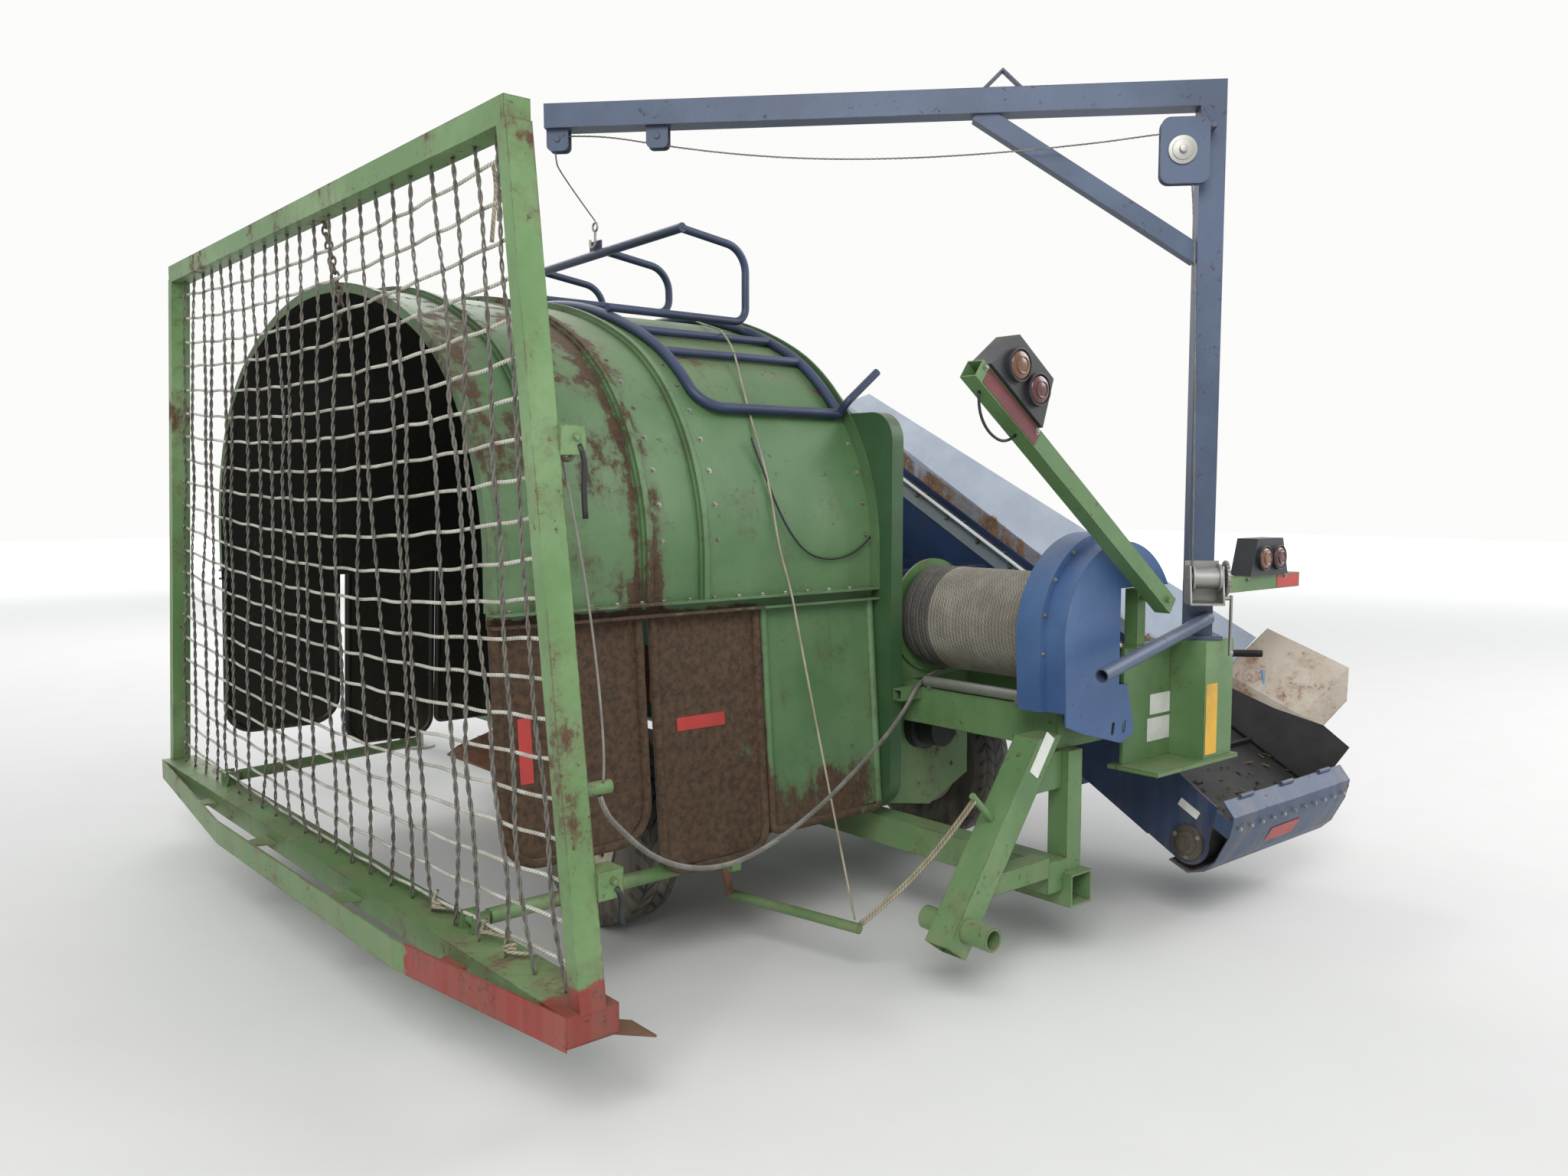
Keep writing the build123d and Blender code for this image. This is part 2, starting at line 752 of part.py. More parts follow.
def tow_jack():
    # A wind-up jack: outer tube in a side bracket, inner tube and a round foot on the ground.
    middle = lower_beam_x + lower_beam_width / 2
    x = middle - lower_beam_width / 2 - jack_radius - 25
    z_top = lower_beam_top + 420
    jack = rod((x, jack_y, 190), (x, jack_y, z_top), jack_radius)
    jack += rod((x, jack_y, 10), (x, jack_y, 200), jack_radius - 6)
    jack += rod((x, jack_y, 0), (x, jack_y, 12), jack_foot_radius)
    low = lower_beam_bottom + 5
    jack += block(x, middle - lower_beam_width / 2, jack_y - 45, jack_y + 45, low, lower_beam_top - 5)
    jack += rod((x, jack_y, z_top - 1), (x, jack_y, z_top + 40), jack_radius * 0.7)
    crank = FilletPolyline(
        (x, jack_y, z_top + 28), (x - 150, jack_y, z_top + 28), (x - 150, jack_y, z_top + 130), radius=12
    )
    jack += sweep(Plane(crank @ 0, z_dir=crank % 0) * Circle(7), path=crank)
    return jack


def drum_spool(side):
    # Two flanges on a core, with the shaft and the brake disc outside the outer flange.
    length = drum_outer - drum_inner
    middle = side * (drum_inner + drum_outer) / 2
    spool = Cylinder(drum_core_radius, length, rotation=(90, 0, 0))
    for y in (-1, 1):
        flange = Cylinder(drum_flange_radius, drum_flange, rotation=(90, 0, 0))
        spool += Pos(0, y * (length - drum_flange) / 2, 0) * flange
    spool = Pos(drum_x, middle, drum_z) * spool
    shaft_in = side * (drum_inner - stand_gap - stand_plate - 12)
    shaft_out = side * (brake_y + 25)
    spool += rod((drum_x, shaft_in, drum_z), (drum_x, shaft_out, drum_z), drum_shaft_radius)
    spool += rod(
        (drum_x, side * (brake_y - brake_plate / 2), drum_z), (drum_x, side * (brake_y + brake_plate / 2), drum_z),
        brake_radius,
    )
    spool += rod(
        (drum_x, side * (drum_outer + stand_gap + stand_plate + 4), drum_z), (drum_x, side * brake_y, drum_z), 45
    )
    for i in range(6):
        hole = Rot(0, 60 * i, 0) * Pos(0, 0, 110) * Cylinder(14, 40, rotation=(90, 0, 0))
        spool -= Pos(drum_x, side * brake_y, drum_z) * hole
    return spool


def drum_rope(side):
    # The wound wire rope as one plain sleeve between the flanges.
    length = drum_outer - drum_inner - 2 * drum_flange - 2 * seat
    sleeve = Cylinder(drum_wound_radius, length, rotation=(90, 0, 0))
    sleeve -= Cylinder(drum_core_radius + seat, length + 2, rotation=(90, 0, 0))
    return Pos(drum_x, side * (drum_inner + drum_outer) / 2, drum_z) * sleeve


def drum_brake(side):
    # A caliper astride the disc on an arm from the cross member.
    y = side * brake_y
    x0, x1 = drum_x - brake_radius - 35, drum_x - brake_radius + 60
    low = drum_z - 90
    caliper = block(x0, x1, y - 45, y + 45, low, low + 120)
    caliper -= block(x0 + 20, x1 + 1, y - brake_plate / 2 - 1.5, y + brake_plate / 2 + 1.5, low - 1, low + 121)
    beam_front = beam_rear_x + beam_width
    foot = block(x0, x0 + 20, y - 30, y + 30, beam_top + seat, low + 1)
    base_end = max(abs(y) - 45, beam_half - post_size)
    foot += block(x0, beam_front, side * base_end, side * (beam_half - 2), beam_top + seat, beam_top + 16)
    return caliper + foot


def guard_outline(inset):
    radius = guard_radius - inset
    low = guard_bottom
    left = drum_x - radius
    edges = [
        ThreePointArc((left, drum_z), (drum_x, drum_z + radius), (drum_x + radius, drum_z)),
        Line((drum_x + radius, drum_z), (drum_x + guard_notch_x, guard_notch_low)),
        Line((drum_x + guard_notch_x, guard_notch_low), (drum_x + 115 - inset, low - 30 + inset)),
        Line((drum_x + 115 - inset, low - 30 + inset), (drum_x + 10, low - 60 + inset)),
        Line((drum_x + 10, low - 60 + inset), (left + 110, low + inset)),
        Line((left + 110, low + inset), (left + 15, low + 35 + inset)),
        Line((left + 15, low + 35 + inset), (left, drum_z)),
    ]
    return make_face(edges)


def drum_guard(side):
    # A pressed sheet guard: a wide band, a step and the outer face, cut away over the brake.
    def layer(inset, near, depth):
        sheet = extrude(Plane.XZ * guard_outline(inset), amount=depth)
        return Pos(0, -near + depth, 0) * sheet

    step = guard_depth * 0.55
    band = layer(0, guard_face - guard_depth + step, step)
    face = layer(guard_step, guard_face, guard_depth - step)
    hollow = layer(guard_sheet, guard_face - guard_depth + step - guard_sheet, step + 5)
    hollow += layer(guard_step + guard_sheet, guard_face - guard_sheet, guard_depth)
    guard = band + face - hollow
    back = -guard_face + guard_depth
    guard -= block(
        drum_x - guard_radius - 1, drum_x + 400, -guard_face + guard_sheet + 1, back + 10,
        guard_bottom - 100, guard_cut_top,
    )
    guard -= block(drum_x - 10, drum_x + 400, -guard_face - 1, back + 1, guard_notch_low, guard_notch_top)
    guard -= block(drum_x + 120, drum_x + 400, -guard_face - 1, back + 1, 0, guard_notch_low + 1)
    for x in (drum_x - 40, drum_x + 25):
        slot = Pos(x, -guard_face, guard_bottom + 25) * extrude(
            Plane.XZ * SlotCenterToCenter(28, 18, rotation=80), amount=20, both=True
        )
        guard -= slot
    for x in (beam_rear_x + 50, drum_x + 30):
        z = beam_bottom + 100
        guard += rod((x, -beam_half - seat, z), (x, -guard_face + 1, z), 16)
    return guard if side < 0 else mirrored(guard)


def rotor_motor():
    # The dark motor on the rotor's near end, over the end plate's bearing hole.
    y = -housing_half - seat
    motor = rod((rotor_x, y, rotor_z), (rotor_x, y - 40, rotor_z), 95)
    motor += rod((rotor_x, y - 39, rotor_z), (rotor_x, y - 130, rotor_z), 72)
    bore = rod((rotor_x, y + 1, rotor_z), (rotor_x, y - gearbox_reach - 4, rotor_z), shaft_radius + shaft_gap)
    return motor - bore


def rotor_gearbox():
    # The far end's reduction gearbox with its splined input shaft for the tractor's drive line.
    y = housing_half + seat
    box = rod((rotor_x, y, rotor_z), (rotor_x, y + 60, rotor_z), 105)
    box += rod((rotor_x, y + 59, rotor_z), (rotor_x, y + 210, rotor_z), 92)
    box += rod((rotor_x, y + 209, rotor_z), (rotor_x, y + 250, rotor_z), 60)
    box += rod((rotor_x, y + 249, rotor_z), (rotor_x, y + 330, rotor_z), input_shaft_radius)
    return box - rod((rotor_x, y - 1, rotor_z), (rotor_x, y + gearbox_reach + 4, rotor_z), shaft_radius + shaft_gap)


def hopper_shell(outline, y0, y1, sheet):
    outer = side_plate(outline, y0, y1)
    xs = [x for x, z in outline]
    zs = [z for x, z in outline]
    middle_x, middle_z = sum(xs) / len(xs), sum(zs) / len(zs)
    inner = []
    for x, z in outline:
        reach = math.hypot(x - middle_x, z - middle_z)
        pull = sheet * 1.25 / reach
        inner.append((x + (middle_x - x) * pull, z + (middle_z - z) * pull))
    return outer - side_plate(inner, y0 + sheet, y1 - sheet)


def rotor_hopper():
    # Blue sheet hopper: a narrow part behind the conveyor and a wide part under its head.
    sheet = 5
    back = tunnel_length + seat + wall_rim + seat
    throat = housing_front - 2
    low = beam_top + seat
    side = hopper_side
    near = [(back, hopper_back_low), (throat, low), (side, hopper_knee), (side, hopper_low_top), (back, hopper_low_top)]
    far = [
        (back, hopper_back_low), (throat, low), (conveyor_right, hopper_slope_top),
        (conveyor_right, hopper_high_top), (back, hopper_high_top),
    ]
    low_part = hopper_shell(near, -hopper_half, hopper_split, sheet)
    high_part = hopper_shell(far, hopper_split, hopper_half, sheet)
    hopper = low_part + high_part
    # Open above, open below over the rotor, and open between the two parts.
    hopper -= block(back + sheet, side - sheet, -hopper_half + sheet, hopper_split, hopper_low_top - 20, hopper_high_top)
    hopper -= block(
        back + sheet, conveyor_right - sheet, hopper_split + sheet, hopper_half - sheet,
        hopper_high_top - 20, hopper_high_top + 20,
    )
    hopper -= block(back + sheet, throat - 25, -hopper_half + sheet, hopper_half - sheet, low - 20, hopper_back_low + 30)
    hopper -= block(
        back + sheet, side - sheet, hopper_split - 2 * sheet, hopper_split + 2 * sheet,
        hopper_back_low + 100, hopper_low_top - 60,
    )
    hopper -= block(
        side, conveyor_right - sheet, hopper_split - 1, hopper_split + sheet + 1, hopper_mouth, hopper_high_top + 1
    )
    front_face = housing_front + seat + front_beam_width + seat
    for y in (hopper_split + 60, hopper_half - 60):
        rib = [
            (front_face, beam_bottom + 20), (front_face, hopper_slope(front_face) + 3),
            (conveyor_right - 250, hopper_slope(conveyor_right - 250) + 3),
            (conveyor_right - 250, hopper_slope(conveyor_right - 250) - 40),
        ]
        hopper += side_plate(rib, y - 4, y + 4)
    return hopper


def hopper_slope(x):
    throat, low = housing_front - 2, beam_top + seat
    return low + (x - throat) * (hopper_slope_top - low) / (conveyor_right - throat)


conveyor_turn = math.radians(conveyor_angle)


def incline(x, along, rise):
    # A place given along the belt from the tail pulley and square to it.
    y = conveyor_tail[0] + along * math.cos(conveyor_turn) - rise * math.sin(conveyor_turn)
    z = conveyor_tail[1] + along * math.sin(conveyor_turn) + rise * math.cos(conveyor_turn)
    return (x, y, z)


def incline_plate(points, x0, x1):
    outline = make_face(Polyline(*[incline(x0, s, h) for s, h in points], close=True))
    return extrude(outline, amount=x1 - x0, dir=(1, 0, 0))


def incline_roller(x0, x1, along, radius):
    return rod(incline(x0, along, 0), incline(x1, along, 0), radius)


def conveyor_frame():
    # Two side plates with rounded tails, a bottom pan, and brackets to the front beam.
    lower = [
        (-20, 190), (-side_depth, 0), (0, -side_depth), (conveyor_length, -side_depth),
        (conveyor_length + side_depth, -side_depth * 0.4), (conveyor_length + side_depth, side_depth),
    ]
    near_top = [(conveyor_length - 60, side_height), (510, side_height), (200, 202)]
    far_top = [(conveyor_length - 60, far_side_height), (wing_start + 140, far_side_height), (wing_start - 20, 190)]
    frame = None
    for x, top in ((conveyor_left, near_top), (conveyor_right - side_sheet, far_top)):
        sheet = incline_plate(lower + top, x, x + side_sheet)
        sheet += incline_roller(x, x + side_sheet, 0, side_depth)
        for along in (0, conveyor_length):
            sheet -= incline_roller(x - 1, x + side_sheet + 1, along, conveyor_shaft + shaft_gap)
        frame = sheet if frame is None else frame + sheet
    pan = [(150, -side_depth), (conveyor_length - 120, -side_depth), (conveyor_length - 120, -side_depth - 5), (150, -side_depth - 5)]
    frame += incline_plate(pan, conveyor_left, conveyor_right)
    for along in (500, 1400, 2300):
        rib = [(along, -side_depth - 4), (along + 50, -side_depth - 4), (along + 50, -side_depth - 55), (along, -side_depth - 55)]
        frame += incline_plate(rib, conveyor_left, conveyor_right)
    beam_face = housing_front + seat + front_beam_width + seat
    frame += block(beam_face, conveyor_left + 1, bracket_y - 60, bracket_y + 60, beam_bottom + 15, beam_top - 15)
    head_post_y, head_z = incline(0, conveyor_length + head_post_past, 0)[1:]
    near, far = head_post_y - 30, head_post_y + 30
    frame += block(beam_face, conveyor_left + 1, near, far, beam_bottom + 15, beam_top - 15)
    frame += block(hopper_side + hopper_clear, conveyor_left + 1, near, far, beam_top - 16, head_z - head_post_drop)
    return frame


def conveyor_belt():
    # The belt round its two rollers, with cleats across its top run.
    x0, x1 = conveyor_left + side_sheet + belt_gap, conveyor_right - side_sheet - belt_gap
    outer, inner = pulley_radius + belt_thickness, pulley_radius

    def loop(radius, a, b):
        flat = [(0, -radius), (conveyor_length, -radius), (conveyor_length, radius), (0, radius)]
        body = incline_plate(flat, a, b)
        return body + incline_roller(a, b, 0, radius) + incline_roller(a, b, conveyor_length, radius)

    belt = loop(outer, x0, x1) - loop(inner, x0 - 1, x1 + 1)
    count = int(conveyor_length // cleat_pitch)
    for i in range(1, count):
        s = i * cleat_pitch
        cleat = [(s, outer - 1), (s + 12, outer - 1), (s + 12, outer + cleat_height), (s, outer + cleat_height)]
        belt += incline_plate(cleat, x0 + cleat_margin, x1 - cleat_margin)
    return belt


def conveyor_roller(along):
    x0, x1 = conveyor_left + side_sheet + belt_gap, conveyor_right - side_sheet - belt_gap
    roller = incline_roller(x0, x1, along, pulley_radius - seat)
    roller += incline_roller(conveyor_left - 40, conveyor_right + 40, along, conveyor_shaft)
    return roller


def side_strip():
    # The galvanised strip bolted along the near side's top edge.
    x0 = conveyor_left - strip_sheet - seat
    low, top, end = side_height - strip_drop, side_height + strip_rise, conveyor_length - 60
    strip = [(strip_start, low), (end, low), (end, top), (strip_start, top)]
    piece = incline_plate(strip, x0, x0 + strip_sheet)
    lip = [(strip_start, top - strip_sheet), (end, top - strip_sheet), (end, top), (strip_start, top)]
    return piece + incline_plate(lip, x0 - 25, x0 + 1)


def flared_sheet(stations, sheet):
    # A flared wing: each station gives the place along the belt and its foot, bend and edge.
    sections = []
    for along, foot, bend, edge in stations:
        x = conveyor_right + seat
        points = [
            incline(x, along, foot[1]), incline(x + bend[0], along, bend[1]), incline(x + edge[0], along, edge[1]),
            incline(x + edge[0] + sheet, along, edge[1] - sheet * 0.3),
            incline(x + bend[0] + sheet, along, bend[1] - sheet * 0.3), incline(x + sheet, along, foot[1]),
        ]
        sections.append(make_face(Polyline(*points, close=True)))
    return loft(sections, ruled=True)


def conveyor_wing():
    # The galvanised side on the loading side, folded outwards above the low plate and run on past the head.
    start = ((0, wing_foot), (8, wing_fold), (wing_flare, wing_edge))
    finish = ((0, wing_foot), (8, wing_fold_end), (wing_flare, wing_edge_end))
    return flared_sheet(((wing_start, *start), (conveyor_length + wing_past_head, *finish)), strip_sheet)


def tail_wing():
    # The worn sheet at the tail, flaring wider towards the loading end.
    corner = ((0, wing_foot + 40), (70, 290), (150, 410))
    tip = ((0, wing_foot + 35), (62, 270), (tail_flare, 500))
    end = ((0, wing_foot + 15), (45, 230), (tail_flare - 30, 450))
    return flared_sheet(((135, *corner), (235, *tip), (wing_start - 2, *end)), strip_sheet)


def tail_cover():
    # A bent cover round the tail roller with a hinged flap along its top.
    x0, x1 = conveyor_left + side_sheet + seat, conveyor_right - side_sheet - seat
    outer = [(30, -118), (-55, -108), (-104, -58), (-122, 0), (-118, 120), (-96, 196), (-30, 224)]
    inner = [(-28, 219), (-92, 191), (-114, 119), (-118, 1), (-100, -56), (-53, -104), (30, -113)]
    cover = incline_plate(outer + inner, x0, x1)
    hinge_count = 3
    for i in range(hinge_count):
        x = x0 + (i + 0.5) * (x1 - x0) / hinge_count
        a, b = incline(x - 45, -34, 226), incline(x + 45, -34, 226)
        cover += rod(a, b, 9)
    # Tabs against the inner faces of the side plates.
    for x in (x0, x1 - side_sheet):
        cover += incline_plate([(-116, 112), (-27, 112), (-27, 176), (-104, 176)], x, x + side_sheet)
    return cover


def trough_skirt():
    # The black rubber sheet that closes the gap between the wing and the belt at the tail.
    x1 = conveyor_right - side_sheet - seat
    sections = []
    for along, low, high in ((-24, 100, 310), (110, 100, 322), (320, 100, 254), (640, 98, 189), (900, 96, 150)):
        points = [
            incline(x1 - skirt_lean, along, low), incline(x1, along, high),
            incline(x1, along, high - 12), incline(x1 - skirt_lean, along, low - 12 + 4),
        ]
        sections.append(make_face(Polyline(*points, close=True)))
    return loft(sections, ruled=True)


def mast_socket():
    # The crane's square socket on its flange, with a web to the frame and the lamp arms' brackets.
    half = socket_size / 2
    x0, x1 = mast_x - half, mast_x + half
    y0, y1 = mast_y - half, mast_y + half
    socket = block(x0, x1, y0, y1, socket_bottom, socket_top)
    socket += block(web_left - 20, x1 + 25, y0 - 15, y1, socket_bottom - flange_plate * 2, socket_bottom)
    web_y = -beam_half - post_size / 2 - seat
    socket += block(web_left, x0 + 1, web_y - flange_plate * 1.5, web_y, socket_bottom - 1, socket_top)
    socket += block(web_left, x0 + 1, web_y - 60, web_y, socket_top - flange_plate, socket_top)
    for z in (beam_bottom + 10, beam_top - 10 - flange_plate):
        socket += block(web_left + 40, housing_front, web_y - 1, -beam_half - seat, z, z + flange_plate)
    # Bracket of the left arm, standing on the web.
    post_y = web_y - 25
    px, pz = left_pivot
    socket += block(px - 25, px + 25, post_y - 25, post_y + 25, socket_top - 1, pz + 30)
    socket += rod((px, post_y - 24, pz), (px, lamp_arm_y - lamp_arm_size / 2 - 12, pz), pivot_radius)
    # Bracket of the right arm, a plate and a pin beside the socket.
    rx, rz = right_pivot
    plate = [(x1 - 1, socket_top - 160), (x1 + 30, socket_top - 160), (rx + 30, rz - 30), (rx + 30, rz + 30), (rx - 30, rz + 30), (x1 - 1, socket_top)]
    socket += side_plate(plate, right_arm_y - lamp_arm_size / 2 - 22, right_arm_y - lamp_arm_size / 2 - 10)
    socket += rod(
        (rx, right_arm_y - lamp_arm_size / 2 - 11, rz), (rx, right_arm_y + lamp_arm_size / 2 + 12, rz), pivot_radius
    )
    return socket - rod((mast_x, mast_y, socket_top - mast_pin_length - 5), (mast_x, mast_y, socket_top + 1), mast_pin_radius + mast_gap)


def on_crane(piece):
    # Crane pieces are drawn with X along the boom and Y towards the tunnel's open side.
    return Pos(mast_x, mast_y, 0) * Rot(0, 0, boom_heading) * piece


def crane_mast():
    low = socket_top + mast_gap
    half = mast_size / 2
    mast = rod((0, 0, low - mast_pin_length), (0, 0, low + 1), mast_pin_radius)
    mast += block(-75, 75, -75, 75, low, low + 14)
    mast += block(-half, half, -half, half, low, boom_top)
    boom_bottom = boom_top - boom_size
    end = boom_length
    boom = block(-half, end, -half, half, boom_bottom, boom_top)
    boom -= block(end - 200, end + 1, -half + 5, half - 5, boom_bottom + 5, boom_top - 5)
    mast += boom
    mast += bar((half - 10, 0, boom_bottom - brace_drop), (brace_reach, 0, boom_bottom + 10), brace_size, brace_size)
    mast = mast & block(-200, end + 1, -200, 200, 0, boom_top)
    # The bent flat bar on top of the boom.
    v = [
        (bracket_r - 80, boom_top - 1), (bracket_r, boom_top + 76), (bracket_r + 80, boom_top - 1),
        (bracket_r + 70, boom_top - 1), (bracket_r, boom_top + 66), (bracket_r - 70, boom_top - 1),
    ]
    mast += side_plate(v, -20, 20)
    # Two rounded lugs under the boom.
    for r in (end - 45, end - 430):
        for t in (-lug_half + cheek / 2, lug_half - cheek / 2):
            plate = Pos(r, t, boom_bottom - 30) * extrude(
                Plane.XZ * RectangleRounded(84, 100, 22), amount=cheek / 2, both=True
            )
            mast += plate & block(r - 60, r + 60, -60, 60, boom_bottom - 100, boom_bottom)
        mast += rod((r, -lug_half - 5, lug_pin_z), (r, lug_half + 5, lug_pin_z), lug_pin_radius)
    # Cheek plates for the sheave, on the mast's near side.
    for t in (sheave_t - sheave_half - cheek, sheave_t + sheave_half):
        cheeks = Pos(sheave_r - 10, t + cheek / 2, sheave_z) * extrude(
            Plane.XZ * RectangleRounded(170, 230, 34), amount=cheek / 2, both=True
        )
        mast += cheeks
    mast += block(0, sheave_r, half - 1, sheave_t + sheave_half + 1, sheave_z + sheave_radius + 16, sheave_z + 100)
    mast += rod((sheave_r, sheave_t - sheave_half - 1, sheave_z), (sheave_r, sheave_t + sheave_half + cheek + 8, sheave_z), 10)
    return on_crane(mast) + rod(handle_top, handle_end, handle_radius) - rod(
        Vector(*handle_end) + (Vector(*handle_top) - Vector(*handle_end)) * 0.3, handle_end, handle_radius - 4
    ) + rod((mast_x, mast_y, handle_top[2]), handle_top, handle_radius * 0.9)


def crane_sheave():
    groove = hoist_wire_radius + 3
    half = sheave_half - 2
    outline = Polyline(
        (-half, 10.4), (-half, sheave_radius + 6), (-groove, sheave_radius - 2), (groove, sheave_radius - 2),
        (half, sheave_radius + 6), (half, 10.4), close=True,
    )
    wheel = revolve(make_face(outline), Axis.X)
    return on_crane(Pos(sheave_r, sheave_t, sheave_z) * Rot(0, 0, 90) * wheel)


def hand_winch():
    # A hand winch on the mast: side frames, wound drum, gear with teeth, crank and grip.
    half = mast_size / 2
    t0 = half + seat
    base = block(-60, 60, t0, t0 + 8, winch_z - 95, winch_z + 60)
    base += block(-60, 60, t0, winch_t + 60, winch_z - 95, winch_z - 87)
    for r in (-60, 54):
        frame = end_plate(
            [(t0, winch_z - 95), (winch_t + 60, winch_z - 95), (winch_t + 30, winch_z + 45), (winch_t - 30, winch_z + 45), (t0, winch_z + 20)],
            r, r + 6,
        )
        base += frame
    for r0, r1, radius in ((-50, 50, 26), (-52, -44, 52), (40, 48, 52), (-80, 62, 9)):
        base += rod((r0, winch_t, winch_z), (r1, winch_t, winch_z), radius)
    base += rod((-44, winch_t, winch_z), (40, winch_t, winch_z), 38)
    gear = Cylinder(58, 10, rotation=(0, 90, 0))
    for i in range(24):
        gear += Rot(15 * i, 0, 0) * Pos(0, 0, 59) * Box(10, 8, 10)
    base += Pos(-72, winch_t, winch_z) * gear
    crank_t = winch_t + 26
    base += rod((-60, crank_t, winch_z - 70), (-92, crank_t, winch_z - 70), 8)
    base += bar((-88, crank_t, winch_z - 60), (-88, crank_t, winch_z - 70 - crank_length), 24, 6)
    base += rod((-86, crank_t, winch_z - 58 - crank_length), (-200, crank_t, winch_z - 58 - crank_length), 13)
    return on_crane(base)


def lamp_arm(length, height):
    # An open square tube with the pivot's eye; drawn along +X from its pivot.
    arm = bar((-45, 0, 0), (length, 0, 0), lamp_arm_size, lamp_arm_size)
    arm -= bar((length - 250, 0, 0), (length + 1, 0, 0), lamp_arm_size - 2 * lamp_arm_wall, lamp_arm_size - 2 * lamp_arm_wall)
    arm -= rod((0, -60, 0), (0, 60, 0), pivot_radius + shaft_gap)
    return arm


def lamp_box(centre):
    # A tapered housing on top of the arm with two round lenses facing out of the near side.
    base = lamp_arm_size / 2 + seat
    outline = [
        (centre - lamp_width / 2, base), (centre + lamp_width / 2, base),
        (centre + lamp_width * 0.34, base + lamp_height), (centre - lamp_width * 0.34, base + lamp_height),
    ]
    box = side_plate(outline, -lamp_depth / 2, lamp_depth / 2)
    for x in (centre - lamp_width * 0.19, centre + lamp_width * 0.19):
        z = base + lamp_height * 0.47
        box += rod((x, -lamp_depth / 2 + 1, z), (x, -lamp_depth / 2 - 14, z), lens_radius)
        box -= rod((x, -lamp_depth / 2 - 15, z), (x, -lamp_depth / 2 - 9, z), lens_radius - 5)
        box += rod((x, -lamp_depth / 2 - 8, z), (x, -lamp_depth / 2 - 12, z), lens_radius - 7)
    return box


def left_lamp(piece):
    # The left arm points back along the machine and rises from its pivot.
    x, z = left_pivot
    return Pos(x, lamp_arm_y, z) * Rot(0, left_lift, 0) * mirror(piece, about=Plane.YZ)


def right_lamp(piece):
    x, z = right_pivot
    return Pos(x, right_arm_y, z) * piece


def cradle_end():
    # Where the rails stop on the side arc: the place and the direction down the arc.
    radius = corner_radius + shell + cradle_tube + seat
    turn = math.acos((cradle_half - corner_y) / radius)
    z = corner_height + radius * math.sin(turn)
    return z, Vector(0, math.sin(turn), -math.cos(turn))


def bag_cradle():
    # Two bent rails over the arch, joined by straight tubes, with three hoops under a ridge tube.
    grow = shell + cradle_tube + seat
    side, middle, join, top = arch_points(grow)
    z_end, down = cradle_end()
    turn_end = math.asin((z_end - corner_height) / (corner_radius + grow))
    half_turn = (turn_end + crown_turn) / 2
    bend = (
        corner_y + (corner_radius + grow) * math.cos(half_turn),
        corner_height + (corner_radius + grow) * math.sin(half_turn),
    )
    corner = 100

    def rail(x):
        def at(y, z):
            return (x, y, z)
        return Wire([
            ThreePointArc(at(-cradle_half, z_end), at(-bend[0], bend[1]), at(-join[0], join[1])),
            ThreePointArc(at(-join[0], join[1]), at(*top), at(*join)),
            ThreePointArc(at(*join), at(*bend), at(cradle_half, z_end)),
        ])

    cradle = None
    for x in (cradle_rear, cradle_front):
        path = rail(x)
        tube = sweep(Plane(path @ 0, z_dir=path % 0) * Circle(cradle_tube), path=path)
        cradle = tube if cradle is None else cradle + tube
    for y_side in (-1, 1):
        fall = Vector(0, y_side * down.Y, down.Z)
        start = Vector(cradle_rear, y_side * cradle_half, z_end)
        turned = start + fall * corner + Vector(corner, 0, 0)
        between = start + fall * (corner * math.sin(math.pi / 4)) + Vector(corner * (1 - math.cos(math.pi / 4)), 0, 0)
        finish = Vector(cradle_front, turned.Y, turned.Z)
        path = Wire([ThreePointArc(start, between, turned), Line(turned, finish)])
        cradle += sweep(Plane(path @ 0, z_dir=path % 0) * Circle(cradle_tube), path=path)
        cradle += rod((cradle_front, y_side * cradle_half, z_end), finish, cradle_tube)
        for y in cross_places:
            z = arch_height(y, grow)
            cradle += rod((cradle_rear, y_side * y, z), (cradle_front, y_side * y, z), cradle_tube * 0.85)
    z_low = turned.Z
    handle_turn = turn_end
    outward = Vector(0, -math.cos(handle_turn), math.sin(handle_turn))
    handle = Vector(cradle_front, -turned.Y, z_low)
    cradle += bent_rod(
        [handle, handle + outward * 65, handle + outward * 65 + Vector(145, -12, 120)], 30, cradle_tube * 0.8
    )
    for y in hoop_places:
        z = arch_height(y, grow) + cradle_tube * 1.8
        path = FilletPolyline(
            (cradle_rear - 15, y, z), (cradle_front, y, z), (cradle_front, y, ridge_at(y)[1] - 45),
            (ridge_at(y)[0], y, ridge_at(y)[1]), radius=[60, 110],
        )
        cradle += sweep(Plane(path @ 0, z_dir=path % 0) * Circle(cradle_tube * 0.85), path=path)
    cradle += rod(ridge_near, ridge_far, cradle_tube)
    eye_x, eye_z = ridge_at(eye_y)
    plate = block(eye_x - 4, eye_x + 4, eye_y - 45, eye_y + 45, eye_z, eye_z + eye_height)
    hole_z = eye_z + cradle_tube + (eye_height - cradle_tube) / 2
    return cradle + plate - rod((eye_x - 5, eye_y, hole_z), (eye_x + 5, eye_y, hole_z), 9)


def hoist_hook():
    # The hook lies against the near side of the ridge's eye plate, under its ring.
    x = ridge_at(eye_y)[0] - 4 - hook_clear - hook_radius
    low = ridge_at(eye_y)[1] + cradle_tube + hook_radius + hook_clear
    y = eye_y - 20
    hook = bent_rod([(x, y, low + 70), (x, y, low), (x, y + 40, low), (x, y + 40, low + 34)], 16, hook_radius)
    ring = Pos(x, y, low + 84) * Rot(0, 90, 0) * Torus(18, 5)
    return hook + ring


